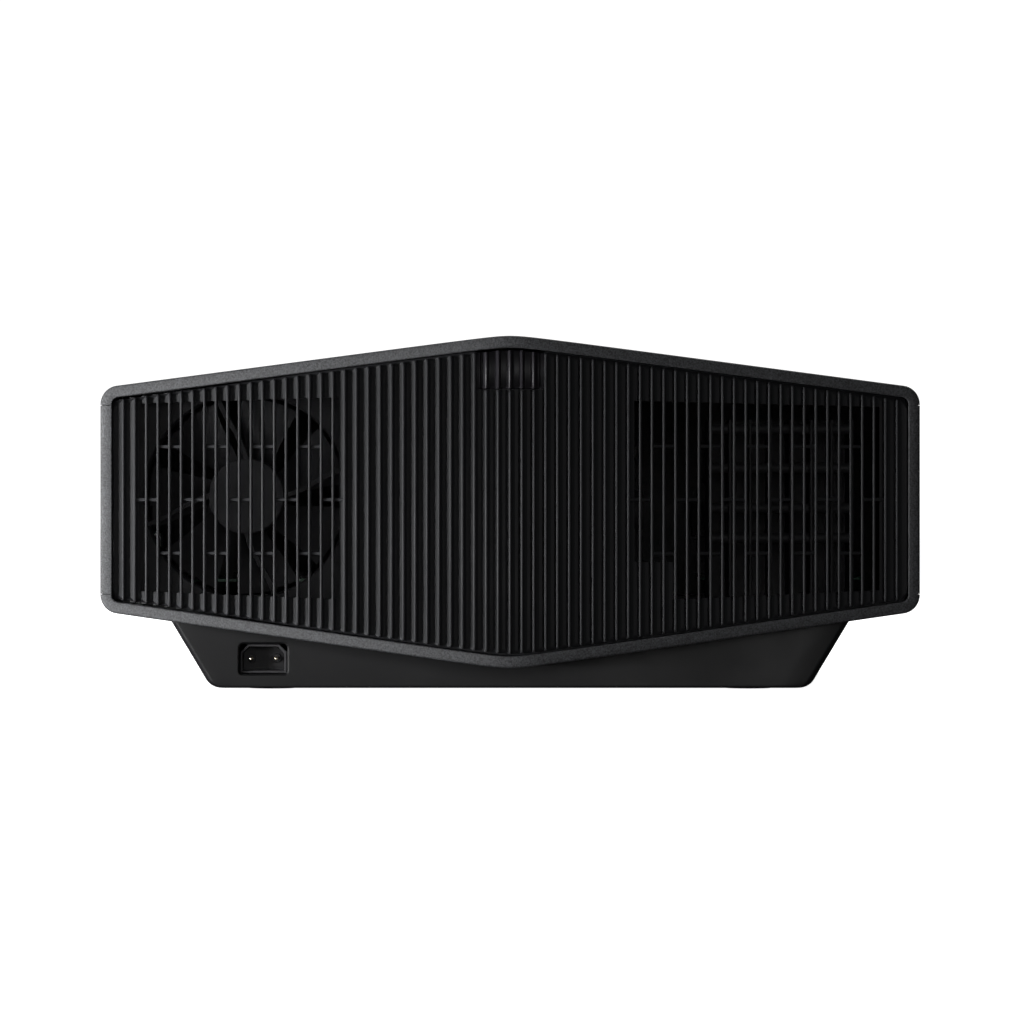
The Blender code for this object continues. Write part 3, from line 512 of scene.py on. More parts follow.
def corner_arc(edge_z, inset, steps=10):
    """The round between a side and the top or bottom cover."""
    sign = 1 if edge_z is top_z else -1
    radius = max(CORNER_RADIUS - inset, 0.0030)
    half = HALF_WIDTH - inset
    slope = abs(edge_z(half) - edge_z(half - 0.05)) / 0.05
    centre_x = half - radius
    centre_z = edge_z(half, inset) - sign * radius * math.hypot(1, slope) + slope * radius * sign
    turn = 90 - math.degrees(math.atan(slope))
    return arc((centre_x, centre_z), radius, 0, sign * turn, steps)


def cap_section(edge_z, seam_z, inset):
    """Outline of the top or bottom cover from the +X seam to the -X seam, at this inset."""
    run = [0.020 * step for step in range(10, 0, -1)] + [0.012, 0.008, 0.004, 0.0]
    side = [(HALF_WIDTH - inset, seam_z)] + corner_arc(edge_z, inset)
    right = side + [(x, edge_z(x, inset)) for x in run]
    return right + [(-x, z) for x, z in reversed(right[:-1])]


def rim_profile():
    """The wall's profile as (inset, end, step in from that end): outside, rear rim, inside, front rim."""
    outer, inner = 0.0011, 0.0007

    def end_curve(end):
        points = [(outer - outer * cosine(a), end, outer - outer * sine(a))
                  for a in (0, 22, 45, 67, 90)]
        points += [(RIM_WIDTH - inner + inner * sine(a), end, inner - inner * cosine(a))
                   for a in (0, 30, 60, 90)]
        return points + [(RIM_WIDTH, end, RIM_DEPTH), (WALL, end, RIM_DEPTH)]

    return end_curve("rear") + list(reversed(end_curve("front")))


def shell(section):
    """A case wall, swept along its outline with a rounded rim at each end."""
    mesh = bmesh.new()
    rows = []
    for inset, end, run in rim_profile():
        row = []
        for x, z in section(inset):
            y = rear_y(x) + run if end == "rear" else front_y(x) - run
            row.append(mesh.verts.new((x, y, z)))
        rows.append(row)
    grid_faces(mesh, rows + rows[:1])
    for side in (0, -1):
        mesh.faces.new([row[side] for row in rows])
    return mesh


def make_case():
    """Top and bottom covers and the two side panels."""
    for name, edge_z, seam in (("top_cover", top_z, SEAM_TOP_Z), ("bottom_cover", bottom_z, SEAM_BOTTOM_Z)):
        make_fine(name, shell(lambda inset: cap_section(edge_z, seam, inset)), "textured_black", angle=50)
    for side, name in ((-1, "side_panel_left"), (1, "side_panel_right")):
        low, high = SEAM_BOTTOM_Z + SEAM_GAP, SEAM_TOP_Z - SEAM_GAP

        def section(inset):
            return [(side * (HALF_WIDTH - inset), low + (high - low) * step / 8) for step in range(9)]

        make_fine(name, shell(section), "textured_black", angle=50)


def make_seam_tongues():
    """Strips behind the side seams, so that no light shows through them."""
    mesh = bmesh.new()
    for side in (-1, 1):
        for seam in (SEAM_TOP_Z, SEAM_BOTTOM_Z):
            reach = HALF_WIDTH - 0.0009
            near = side * reach
            far = side * (HALF_WIDTH - WALL + 0.0002)
            start, end = rear_y(reach) + 0.0016, front_y(reach) - 0.0016
            box_into(mesh, (min(near, far), start, seam - 0.0008), (max(near, far), end, seam + 0.0008))
            inner = side * (HALF_WIDTH - RIM_WIDTH + 0.0002)
            for from_y, to_y in ((start, start + RIM_DEPTH - 0.0025), (end - RIM_DEPTH + 0.0025, end)):
                box_into(
                    mesh, (min(near, inner), from_y, seam - 0.0006),
                    (max(near, inner), to_y, seam + 0.0006),
                )
    make("seam_tongues", mesh, "textured_black", replaces=["side_panel_left", "side_panel_right"], weld=False)


# ---------------------------------------------------------------- rear louvre


def plate_front(x):
    """The front of the sheet behind the slats."""
    return rear_y(x) + SLAT_RECESS + SLAT_DEPTH


def inner_corner_drop(x):
    """How far the rim's rounded inside corner comes down near each side."""
    radius = CORNER_RADIUS - RIM_WIDTH
    into = abs(x) - (HALF_WIDTH - LOUVRE_INSET - radius)
    if into <= 0:
        return 0.0
    return radius - math.sqrt(max(radius ** 2 - into ** 2, 0.0))


def louvre_low(x, inset=LOUVRE_INSET):
    """The bottom of the louvre at x, inside the rim."""
    return bottom_z(x, inset) + inner_corner_drop(x)


def louvre_high(x, inset=LOUVRE_INSET):
    """The top of the louvre at x, inside the rim."""
    return top_z(x, inset) - inner_corner_drop(x)


def plate_rows():
    """The plate's front as (end, forward, in from that end): both ends curl forward to meet the rim."""
    curl, steps = 0.0036, 6
    bends = []
    for step in range(steps + 1):
        angle = math.pi / 2 * step / steps
        bends.append((curl * (1 - math.sin(angle)), curl * (1 - math.cos(angle))))
    return [("low", *bend) for bend in bends] + [("high", *bend) for bend in reversed(bends)]


def make_louvre_plate():
    """The sheet behind the slats, with a curled edge all along its top and bottom."""
    half = HALF_WIDTH - LOUVRE_INSET
    count = 2 * (SLATS_EACH_SIDE + 1)
    places = [SLAT_PITCH * (number - count / 2) / 2 for number in range(2 * count + 1)]
    places = sorted(
        {round(x, 6) for x in places if abs(x) < half} | {-half, half, -half + 0.001, half - 0.001}
    )
    mesh = bmesh.new()
    rows = []
    for x in places:
        front = plate_front(x)
        low, high = louvre_low(x), louvre_high(x)
        column = []
        for end, forward, up in plate_rows():
            z = high - up if end == "high" else low + up
            column.append(mesh.verts.new((x, front - forward, z)))
        back = front + LOUVRE_PLATE
        column.append(mesh.verts.new((x, back, high)))
        column.append(mesh.verts.new((x, back, low)))
        rows.append(column)
    solid_faces(mesh, rows)
    plate = make("louvre_plate", mesh, "louvre_black", replaces=["rear_louvre"], angle=40)
    for first, last, _, _ in WINDOWS.values():
        left, right = (first + 0.5) * SLAT_PITCH, (last - 0.5) * SLAT_PITCH
        if first > 0:
            carve(
                plate,
                window_block(left, WINDOW_STEP_X + 0.0001, -0.004, LOUVRE_PLATE + 0.004, WINDOW_STEP_Z),
            )
            left = WINDOW_STEP_X
        carve(plate, window_block(left, right, -0.004, LOUVRE_PLATE + 0.004))
    notch = bmesh.new()
    box_into(notch, (-IR_HALF_WIDTH, -0.25, IR_BOTTOM_Z), (IR_HALF_WIDTH, -0.20, 0.21))
    carve(plate, notch)
    return plate


def window_at(x):
    """The window's bottom and top height at this place, or None beside the windows."""
    for first, last, outer, inner in WINDOWS.values():
        if first * SLAT_PITCH < x < last * SLAT_PITCH:
            far, near = sorted((abs(first), abs(last)), reverse=True)
            share = (far - abs(x) / SLAT_PITCH) / (far - near)
            return [a + (b - a) * share for a, b in zip(outer, inner)]
    return None


def window_block(left, right, near, far, floor=0.0, steps=8):
    """A block that follows the louvre plate, with the window's sloping top and bottom."""
    mesh = bmesh.new()
    rows = []
    for step in range(steps + 1):
        x = left + (right - left) * step / steps
        low, high = window_at(x)
        low = max(low, floor)
        front = plate_front(x)
        corners = ((front + near, low), (front + near, high), (front + far, high), (front + far, low))
        rows.append([mesh.verts.new((x, y, z)) for y, z in corners])
    solid_faces(mesh, rows)
    return mesh


def slat_section(flare):
    """Half of a slat's section, as (half width, depth): a blunt nose, then a root that flares out."""
    flat = SLAT_HALF - NOSE_RADIUS
    nose = [(0.0, 0.0)] + [
        (flat + NOSE_RADIUS * sine(a), NOSE_RADIUS * (1 - cosine(a)))
        for a in (0, 22, 45, 68, 90)
    ]
    root = [
        (SLAT_HALF + flare * step ** 2, SLAT_DEPTH + ROOT_OVERLAP - ROOT_RUN * (1 - step))
        for step in (0.0, 0.25, 0.45, 0.62, 0.76, 0.88, 1.0)
    ]
    return nose + root


def slat_into(mesh, number, low, high):
    """One slat, its nose drawn back a little at both ends and its root plain across a window."""
    x = number * SLAT_PITCH
    tip = rear_y(x) + SLAT_RECESS
    window = window_at(x)
    levels = [
        (low, 1.0), (low + 0.0006, 0.35), (low + 0.0016, 0.0), (high - 0.0016, 0.0),
        (high - 0.0006, 0.35), (high, 1.0),
    ]
    levels = [(height, drawn, ROOT_FLARE) for height, drawn in levels]
    if window:
        bottom, top = window
        if 0 < x < WINDOW_STEP_X:
            bottom = WINDOW_STEP_Z
        levels[3:3] = [
            (bottom, 0.0, ROOT_FLARE), (bottom + 0.0003, 0.0, 0.0), (top - 0.0003, 0.0, 0.0),
            (top, 0.0, ROOT_FLARE),
        ]
    rows = []
    for height, drawn, flare in levels:
        half = slat_section(flare)
        outline = [(dx, depth) for dx, depth in half] + [(-dx, depth) for dx, depth in reversed(half[1:])]
        row = []
        for dx, depth in outline:
            back = 0.0010 * drawn * max(0.0, 1 - depth / 0.004)
            row.append(mesh.verts.new((x + dx, tip + depth + back, height)))
        rows.append(row)
    solid_faces(mesh, rows)


def make_slats():
    """All the slats, then the short ribs in the two windows."""
    mesh = bmesh.new()
    for number in range(-SLATS_EACH_SIDE, SLATS_EACH_SIDE + 1):
        x = number * SLAT_PITCH
        low, high = louvre_low(x, SLAT_INSET), louvre_high(x, SLAT_INSET)
        if abs(x) < IR_HALF_WIDTH:
            high = IR_BOTTOM_Z - 0.0003
        slat_into(mesh, number, low, high)
    make("louvre_slats", mesh, "louvre_black", replaces=["rear_louvre"], angle=50, weld=False)
    ribs = bmesh.new()
    for first, last, _, _ in WINDOWS.values():
        for height, start in RIB_ROWS:
            for number in range(start, SLATS_EACH_SIDE, 4):
                span = (-number - 2, -number) if first < 0 else (number, number + 2)
                if first <= span[0] and span[1] <= last:
                    rib_into(ribs, span, height)
    make("louvre_ribs", ribs, "louvre_black", replaces=["rear_louvre"], weld=False)


def rib_into(mesh, span, height):
    """A short bar behind three slats, with a rounded front edge."""
    thick = 0.0010
    profile = [(-0.0026 + thick * (1 - cosine(a)), thick * sine(a)) for a in (-90, -45, 0, 45, 90)]
    profile += [(-0.0006, thick), (-0.0006, -thick)]
    rows = []
    for step in range(5):
        x = (span[0] + (span[1] - span[0]) * step / 4) * SLAT_PITCH
        rows.append([mesh.verts.new((x, plate_front(x) + depth, height + lift)) for depth, lift in profile])
    solid_faces(mesh, rows)


def make_ir_window():
    """The receiver window continues the slats in dark glossy plastic."""
    mesh = bmesh.new()
    half = IR_HALF_WIDTH - 0.0003
    places = [-half + 2 * half * step / 60 for step in range(61)]

    def face(x):
        """The slat's round nose where there is one, and a shallow trough between."""
        off = abs(x - SLAT_PITCH * round(x / SLAT_PITCH))
        tip = rear_y(x) + SLAT_RECESS
        if abs(x) > 2.5 * SLAT_PITCH:
            return tip + 0.0020
        if off < SLAT_HALF:
            return tip + SLAT_HALF - math.sqrt(SLAT_HALF ** 2 - off ** 2)
        return tip + min(SLAT_HALF + (off - SLAT_HALF) * 4.0, 0.0034)

    rows = []
    for x in places:
        high = louvre_high(x, SLAT_INSET)
        low = IR_BOTTOM_Z + 0.0003
        rim = 0.0006
        back = plate_front(x) + LOUVRE_PLATE
        column = [
            (face(x) + rim, low), (face(x), low + rim), (face(x), high - rim), (face(x) + rim, high),
            (back, high), (back, low),
        ]
        rows.append([mesh.verts.new((x, y, z)) for y, z in column])
    solid_faces(mesh, rows)
    make("ir_window_fine", mesh, "dark_window", replaces=["rear_ir_window"], angle=50)


# ---------------------------------------------------------------- plinth, inlet and feet


def plan_loop(half_width, half_depth, corner, level):
    """A rounded rectangle in plan; level gives each point's height."""
    loop = []
    for sx, sy, start in ((1, 1, 0), (-1, 1, 90), (-1, -1, 180), (1, -1, 270)):
        centre = (sx * (half_width - corner), sy * (half_depth - corner))
        loop += arc(centre, corner, start, start + 90, 5)
        if sx * sy > 0:
            loop += [(sx * (half_width - corner) * (1 - step / 12), sy * half_depth) for step in range(1, 24)]
    return [(x, y, level(x)) for x, y in loop]


def make_plinth():
    """The tray under the case: flared sides with a large round below, and a soft lower edge."""
    def under_case(x):
        return bottom_z(x) - 0.0003

    slope = math.degrees(math.atan(PLINTH_FLARE))
    middle = PLINTH_HALF_WIDTH - PLINTH_ROUND * (1 - sine(slope)) / cosine(slope)
    loops = []
    for step in range(11):
        angle = math.radians(-90 + (90 - slope) * step / 10)
        z = PLINTH_BOTTOM_Z + PLINTH_ROUND * (1 + math.sin(angle))
        short = max(0.0, PLINTH_EDGE - (z - PLINTH_BOTTOM_Z))
        depth = PLINTH_HALF_DEPTH - PLINTH_EDGE + math.sqrt(PLINTH_EDGE ** 2 - short ** 2)
        width = middle + PLINTH_ROUND * math.cos(angle)
        loops.append(plan_loop(width, depth, PLINTH_CORNER, lambda x, z=z: z))
    rise = KEEL_Z + (BOTTOM_CORNER_Z - KEEL_Z) * 0.82 - PLINTH_BOTTOM_Z
    top_half = PLINTH_HALF_WIDTH + PLINTH_FLARE * rise
    wall = PLINTH_WALL
    loops.append(plan_loop(top_half, PLINTH_HALF_DEPTH, PLINTH_CORNER, under_case))
    loops.append(plan_loop(top_half - wall, PLINTH_HALF_DEPTH - wall, 0.001, under_case))
    floor = PLINTH_BOTTOM_Z + wall
    loops.append(plan_loop(PLINTH_HALF_WIDTH - 2.5 * wall, PLINTH_HALF_DEPTH - wall, 0.001, lambda x: floor))
    mesh = bmesh.new()
    rows = [[mesh.verts.new(point) for point in loop] for loop in loops]
    solid_faces(mesh, rows)
    bmesh.ops.recalc_face_normals(mesh, faces=mesh.faces)
    plinth = placed("plinth_fine", mesh)
    carve(plinth, inlet_opening())
    for sx in (-1, 1):
        for sy in (-1, 1):
            hole = [(0, -0.01), (FOOT_HOLE, -0.01), (FOOT_HOLE, 0.02), (0, 0.02)]
            carve(plinth, turned(hole, "Z", (sx * FOOT_X, sy * FOOT_Y, 0), 48))
    for sx in (-1, 1):
        for y in (-0.060, 0.060):
            carve(plinth, slot_row(sx * 0.060, y))
    keep(plinth, "satin_black", ["plinth_base"], 32)


def slot_row(x, y):
    """A group of drain slots with round ends, cut through the floor of the tray."""
    mesh = bmesh.new()
    for number in range(-4, 5):
        ends = arc((x + 0.018, y + number * 0.0060), 0.0014, -90, 90, 6)
        ends += arc((x - 0.018, y + number * 0.0060), 0.0014, 90, 270, 6)
        prism_into(mesh, ends, "Z", -0.002, 0.006)
    return mesh


def rounded_outline(half_width, half_height, low_round, high_round, steps=6):
    """An upright rounded rectangle; the two top corners have their own radius."""
    points = []
    for sx, sz, start, radius in (
        (1, 1, 0, high_round), (-1, 1, 90, high_round), (-1, -1, 180, low_round), (1, -1, 270, low_round),
    ):
        points += arc(
            (sx * (half_width - radius), sz * (half_height - radius)), radius, start, start + 90, steps,
        )
    return points


def inlet_opening():
    """The hole in the plinth's rear wall, with a bevelled mouth."""
    mesh = bmesh.new()
    rows = []
    for grow, y in (
        (0.0016, -PLINTH_HALF_DEPTH - 0.0006), (0.0, -PLINTH_HALF_DEPTH + 0.0010),
        (0.0, -PLINTH_HALF_DEPTH + 0.0100),
    ):
        outline = rounded_outline(
            INLET_HALF_WIDTH + grow, INLET_HALF_HEIGHT + grow, 0.0018 + grow, 0.0026 + grow,
        )
        rows.append([mesh.verts.new((INLET_X + x, y, INLET_Z + z)) for x, z in outline])
    solid_faces(mesh, rows)
    return mesh


def inlet_outline(inset):
    """The housing's outline: two cut corners at the top."""
    half_w = INLET_HALF_WIDTH - 0.0004 - inset
    half_h = INLET_HALF_HEIGHT - 0.0004 - inset
    cut = 0.0042 - 0.35 * inset
    return [
        (-half_w, -half_h), (half_w, -half_h), (half_w, half_h - cut), (half_w - cut, half_h),
        (-half_w + cut, half_h),
        (-half_w, half_h - cut),
    ]


def make_inlet():
    """The mains inlet: a deep, thin-walled housing with two round pins and a moulded collar."""
    mouth, back = -PLINTH_HALF_DEPTH + 0.0036, -PLINTH_HALF_DEPTH + 0.0205
    mesh = bmesh.new()
    rows = []
    for inset, y in (
        (0.0, back), (0.0, mouth + 0.0004), (0.0003, mouth), (0.0011, mouth), (0.0014, mouth + 0.0004),
        (0.0016, back - 0.0030),
    ):
        rows.append([mesh.verts.new((INLET_X + x, y, INLET_Z + z)) for x, z in inlet_outline(inset)])
    solid_faces(mesh, rows)
    floor = back - 0.0030
    for sx in (-1, 1):
        collar = [
            (0.0013, floor + 0.0005), (0.0013, floor - 0.0012), (0.0022, floor - 0.0012),
            (0.0026, floor - 0.0008), (0.0026, floor + 0.0005),
        ]
        turned_into(mesh, collar, "Y", (INLET_X + sx * PIN_SPACING / 2, 0, INLET_Z), 24)
    make_fine("inlet_housing", mesh, "engine_black", angle=40)
    for side, name in ((-1, "left"), (1, "right")):
        low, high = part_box(f"mains_pin_{name}")
        radius, tip, end = (high.x - low.x) / 2, low.y, high.y
        profile = [
            (0, tip), (radius * 0.45, tip + 0.00012), (radius * 0.80, tip + 0.0005),
            (radius, tip + 0.0013), (radius, end), (0, end),
        ]
        pin = turned(profile, "Y", (INLET_X + side * PIN_SPACING / 2, 0, INLET_Z), 24)
        make_fine(f"mains_pin_{name}", pin, "brass")


def make_feet():
    """Ribbed rubber feet; the front pair swivel on threaded stems."""
    radius = FOOT_RADIUS
    groove = [
        (r, z)
        for k in range(4)
        for r, z in ((0.003 + 0.0024 * k, 0.0), (0.0035 + 0.0024 * k, 0.0007), (0.0041 + 0.0024 * k, 0.0))
    ]
    tread = [(0, 0.0)] + groove + [(radius - 0.0012, 0.0), (radius - 0.00035, 0.00035), (radius, 0.0012)]
    for side, name in ((-1, "left"), (1, "right")):
        rear = tread + [(radius, 0.0080), (radius - 0.0004, 0.0090), (0, 0.0092)]
        foot = turned(rear, "Z", (side * FOOT_X, -FOOT_Y, 0), 48)
        make_fine(f"rear_foot_{name}", foot, "rubber")
        front = tread + [
            (radius, 0.0052), (radius - 0.0006, 0.0060), (0.0046, 0.0060), (0.0045, 0.0030), (0, 0.0030),
        ]
        centre = (side * FOOT_X, FOOT_Y, 0)
        pad = turned(front, "Z", centre, 48)
        make_fine(f"front_foot_pad_{name}", pad, "rubber", f"front_pad_{name}_body")
        stem = [
            (0, 0.0033), (0.0036, 0.0033), (0.0041, 0.0038), (0.0041, 0.0058), (0.0036, 0.0063),
            (0.0030, 0.0066),
        ]
        for number in range(25):
            z = 0.0070 + number * 0.0008
            stem += [(0.0030, z), (0.00255, z + 0.0004)]
        stem += [(0.0030, 0.0272), (0.0024, 0.0280), (0, 0.0280)]
        make_fine(
            f"front_foot_stem_{name}", turned(stem, "Z", centre, 32), "sheet_steel",
            f"front_stem_{name}_body",
        )


# ---------------------------------------------------------------- front panel and lens


def panel_out(x):
    """The front panel's outer face."""
    return front_y(x) - PANEL_RECESS


def panel_in(x):
    """The front panel's inner face."""
    return panel_out(x) - PANEL_THICKNESS


def slot_outline(side, inset, corner):
    """An exhaust opening's outline, drawn anticlockwise in X and Z."""
    near, far = FRONT_SLOT
    low, high = FRONT_SLOT_Z
    half_w, half_h = (far - near) / 2 - inset, (high - low) / 2 - inset
    middle_x, middle_z = side * (near + far) / 2, (low + high) / 2
    outline = rounded_outline(half_w, half_h, corner - inset, corner - inset)
    return [(middle_x + x, middle_z + z) for x, z in outline]


def make_front_panel():
    """The V-shaped front, soft along its edges, with the lens, dial and exhaust openings."""
    half = HALF_WIDTH - LOUVRE_INSET
    count = 60
    soft = 0.0005
    mesh = bmesh.new()
    rows = []
    places = {round(-half + 2 * half * step / count, 6) for step in range(count + 1)}
    places |= {
        round(sign * (half - near), 6)
        for sign in (-1, 1)
        for near in (0.0002, 0.0006, 0.0012, 0.0020, 0.0030, 0.0042)
    }
    for x in sorted(places):
        low, high = louvre_low(x), louvre_high(x)
        out, inside = panel_out(x), panel_in(x)
        column = [(inside, low), (out - soft, low), (out, low + soft)]
        column += [(out, low + (high - low) * k / 4) for k in (1, 2, 3)]
        column += [(out, high - soft), (out - soft, high), (inside, high)]
        rows.append([mesh.verts.new((x, y, z)) for y, z in column])
    solid_faces(mesh, rows)
    panel = make_fine("front_panel", mesh, "textured_black")
    hole = [(0, 0.18), (SURROUND_RADIUS + 0.0004, 0.18), (SURROUND_RADIUS + 0.0004, 0.26), (0, 0.26)]
    carve(panel, turned(hole, "Y", (0, 0, LENS_Z), 128))
    for x in (-DIAL_X, DIAL_X):
        mouth = panel_out(DIAL_X)
        bore = DIAL_RADIUS + 0.0006
        hole = [
            (0, 0.18), (bore, 0.18), (bore, mouth - 0.0008), (bore + 0.0028, mouth + 0.0020),
            (0, mouth + 0.0020),
        ]
        carve(panel, turned(hole, "Y", (x, 0, DIAL_Z), 48))
    for side in (-1, 1):
        carve(panel, prism(slot_outline(side, 0.0, 0.0060), "Y", 0.18, 0.26))
    panel.data.set_sharp_from_angle(angle=math.radians(35))


def make_front_louvres():
    """Each exhaust has a rim that follows the panel, slanted vanes and two tie bars behind them."""
    near, far = FRONT_SLOT
    low, high = FRONT_SLOT_Z
    pitch = (far - near) / FRONT_SLATS
    for side, name in ((-1, "left"), (1, "right")):
        mesh = bmesh.new()
        rows = []
        for inset, depth in (
            (-0.0006, 0.0130), (-0.0006, 0.0034), (0.0004, 0.0034), (0.0004, 0.0008), (0.0008, 0.0003),
            (0.0016, 0.0003), (0.0020, 0.0009), (0.0020, 0.0130),
        ):
            rows.append(
                [mesh.verts.new((x, panel_out(x) - depth, z)) for x, z in slot_outline(side, inset, 0.0060)]
            )
        grid_faces(mesh, rows + rows[:1], closed=True)
        for number in range(FRONT_SLATS + 1):
            reach = near + (number + 0.1) * pitch
            vane_into(mesh, side, reach, low + 0.0010, high - 0.0010)
        for share in (0.34, 0.66):
            height = low + (high - low) * share
            bar = []
            for step in range(9):
                x = side * (near + 0.0012 + (far - near - 0.0024) * step / 8)
                y = panel_out(x)
                corners = (
                    (y - 0.0128, -0.0009), (y - 0.0100, -0.0009), (y - 0.0094, 0.0), (y - 0.0100, 0.0009),
                    (y - 0.0128, 0.0009),
                )
                bar.append([mesh.verts.new((x, place, height + up)) for place, up in corners])
            solid_faces(mesh, bar)
        make_fine(f"front_louvre_{name}", mesh, "louvre_black", weld=False)


def vane_into(mesh, side, reach, low, high):
    """One vane, set back at its front edge, leaning outward so that nothing is seen straight through."""
    near, far = FRONT_SLOT
    thin, depth, lean = 0.0007, 0.0112, 0.0085
    ring_low, ring_high = [], []
    section = [
        (-thin, 0.0004), (-0.4 * thin, 0.0), (0.4 * thin, 0.0), (thin, 0.0004), (thin, depth),
        (-thin, depth),
    ]
    for off, back in section:
        x = reach + off - lean * back / depth
        x = side * min(max(x, near + 0.0012), far - 0.0012)
        y = panel_out(side * min(max(reach, near), far)) - 0.0016 - back
        ring_low.append(mesh.verts.new((x, y, low)))
        ring_high.append(mesh.verts.new((x, y, high)))
    solid_faces(mesh, [ring_low, ring_high])


def knurl(teeth, depth, rows):
    """A ripple for a grip: teeth round the ring on the given rows of the profile."""
    return lambda angle, index: -depth * (0.5 - 0.5 * math.cos(teeth * angle)) if index in rows else 0.0


def make_surround():
    """The fixed funnel round the lens: a rounded lip, then steps down to its bore."""
    radius, bore, front = SURROUND_RADIUS, SURROUND_BORE, SURROUND_FRONT_Y
    profile = [(radius, SURROUND_BACK_Y), (radius, front - 0.0020)]
    profile += [
        (radius - 0.0020 + 0.0020 * cosine(a), front - 0.0020 + 0.0020 * sine(a))
        for a in (15, 35, 55, 75, 90)
    ]
    profile += [(radius - 0.0042, front), (radius - 0.0052, front - 0.0004)]
    for step in range(6):
        share = (step + 1) / 6.5
        r, y = radius - 0.0052 - (radius - 0.0052 - bore) * share, front - 0.0004 - 0.0166 * share
        profile += [(r + 0.0004, y + 0.0006), (r, y + 0.0001), (r, y - 0.0004)]
    profile += [(bore, front - 0.0180), (bore, SURROUND_BACK_Y)]
    make_fine("lens_surround", turned(profile, "Y", LENS_CENTRE, 144), "satin_black", angle=28)


def make_barrel():
    """The barrel, with its flange, grooves behind the grip rings and steps inside its mouth."""
    glass, barrel = ELEMENT_RADIUS, BARREL_RADIUS
    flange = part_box("horizontal_carriage")[1].y + 0.0003
    profile = [(glass + 0.0005, 0.1000), (barrel - 0.0006, 0.1000), (barrel, 0.1006), (barrel, flange)]
    profile += [
        (barrel + 0.0066, flange), (barrel + 0.0070, flange + 0.0004), (barrel + 0.0070, flange + 0.0036),
    ]
    profile += [(barrel + 0.0066, flange + 0.0040), (barrel, flange + 0.0040), (barrel, 0.1450)]
    for number in range(5):
        y = 0.1500 + number * 0.0030
        profile += [
            (barrel, y), (barrel - 0.0006, y + 0.0004), (barrel - 0.0006, y + 0.0012),
            (barrel, y + 0.0016),
        ]
    profile += [(barrel, 0.2214), (barrel - 0.0006, 0.2220), (barrel - 0.0014, 0.2220)]
    for number in range(3):
        y = 0.2212 - number * 0.0012
        profile += [(barrel - 0.0018 - number * 0.0007, y), (barrel - 0.0022 - number * 0.0007, y - 0.0006)]
    profile += [
        (glass + 0.0002, 0.2176), (glass - 0.0006, 0.2172), (glass - 0.0006, 0.2162),
        (glass + 0.0005, 0.2150),
    ]
    make_fine("lens_barrel", turned(profile, "Y", LENS_CENTRE, 144), "engine_black", "lens_body", angle=28)


def make_element():
    """The front element, domed and coated."""
    glass = ELEMENT_RADIUS
    dome = [(0, 0.2050), (glass, 0.2050), (glass, 0.2105)]
    dome += [
        (glass - 0.0001 - glass * (1 - cosine(a)), 0.2106 + 0.0064 * sine(a))
        for a in (4, 10, 18, 28, 38, 48, 58, 68, 78, 84)
    ]
    dome.append((0, 0.2170))
    make_fine("front_lens_element", turned(dome, "Y", LENS_CENTRE, 144), "glass", "lens_body", angle=40)


def make_grip_rings():
    """Zoom and focus rings, ribbed for grip."""
    barrel = BARREL_RADIUS
    for name, outer, start, end, teeth, body in (
        ("zoom_ring", barrel + 0.0045, 0.1900, 0.2030, 84, "zoom_body"),
        ("focus_ring", barrel + 0.0050, 0.2035, 0.2185, 96, "focus_body"),
    ):
        inner = barrel + 0.0003
        profile = [
            (inner, start), (outer - 0.0012, start), (outer - 0.0006, start + 0.0008),
            (outer - 0.0006, start + 0.0020),
        ]
        profile += [(outer, start + 0.0026), (outer, end - 0.0026)]
        profile += [
            (outer - 0.0006, end - 0.0020), (outer - 0.0006, end - 0.0008), (outer - 0.0012, end),
            (inner, end),
        ]
        ring = turned(profile, "Y", LENS_CENTRE, teeth * 6, knurl(teeth, 0.0007, (4, 5)))
        make_fine(name, ring, "rubber", body, angle=50)


def make_dials():
    """The two shift dials beside the lens, each on its shaft."""
    mouth = panel_out(DIAL_X)
    for name, x, body in (
        ("vertical_shift_dial", -DIAL_X, "vertical_dial_body"),
        ("horizontal_shift_dial", DIAL_X, "horizontal_dial_body"),
    ):
        edge = DIAL_RADIUS
        profile = [
            (0, 0.1400), (0.0026, 0.1400), (0.0030, 0.1404), (0.0030, mouth - 0.0080),
            (edge - 0.0004, mouth - 0.0080),
        ]
        profile += [
            (edge, mouth - 0.0072), (edge, mouth + 0.0016), (edge - 0.0004, mouth + 0.0026),
            (edge - 0.0012, mouth + 0.0030),
        ]
        profile += [(edge - 0.0022, mouth + 0.0029), (0.0035, mouth + 0.0016), (0, mouth + 0.0014)]
        dial = turned(profile, "Y", (x, 0, DIAL_Z), 180, knurl(30, 0.0005, (5, 6, 7)))
        make_fine(name, dial, "satin_black", body, angle=40)


def make_receiver():
    """The small receiver window under the lens, slightly domed."""
    low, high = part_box("front_ir_window")
    half_w, half_h = (high.x - low.x) / 2, (high.z - low.z) / 2
    middle = (low.z + high.z) / 2
    mesh = bmesh.new()
    rows = []
    for inset, y in (
        (0.0, low.y), (0.0, high.y - 0.0007), (0.0003, high.y - 0.0003), (0.0009, high.y - 0.0001),
        (0.0018, high.y),
    ):
        outline = rounded_outline(half_w - inset, half_h - inset, 0.0020 - inset, 0.0020 - inset)
        rows.append([mesh.verts.new((x, y, middle + z)) for x, z in outline])
    solid_faces(mesh, rows)
    make_fine("front_ir_window", mesh, "dark_window", angle=40)


# ---------------------------------------------------------------- terminals and keys


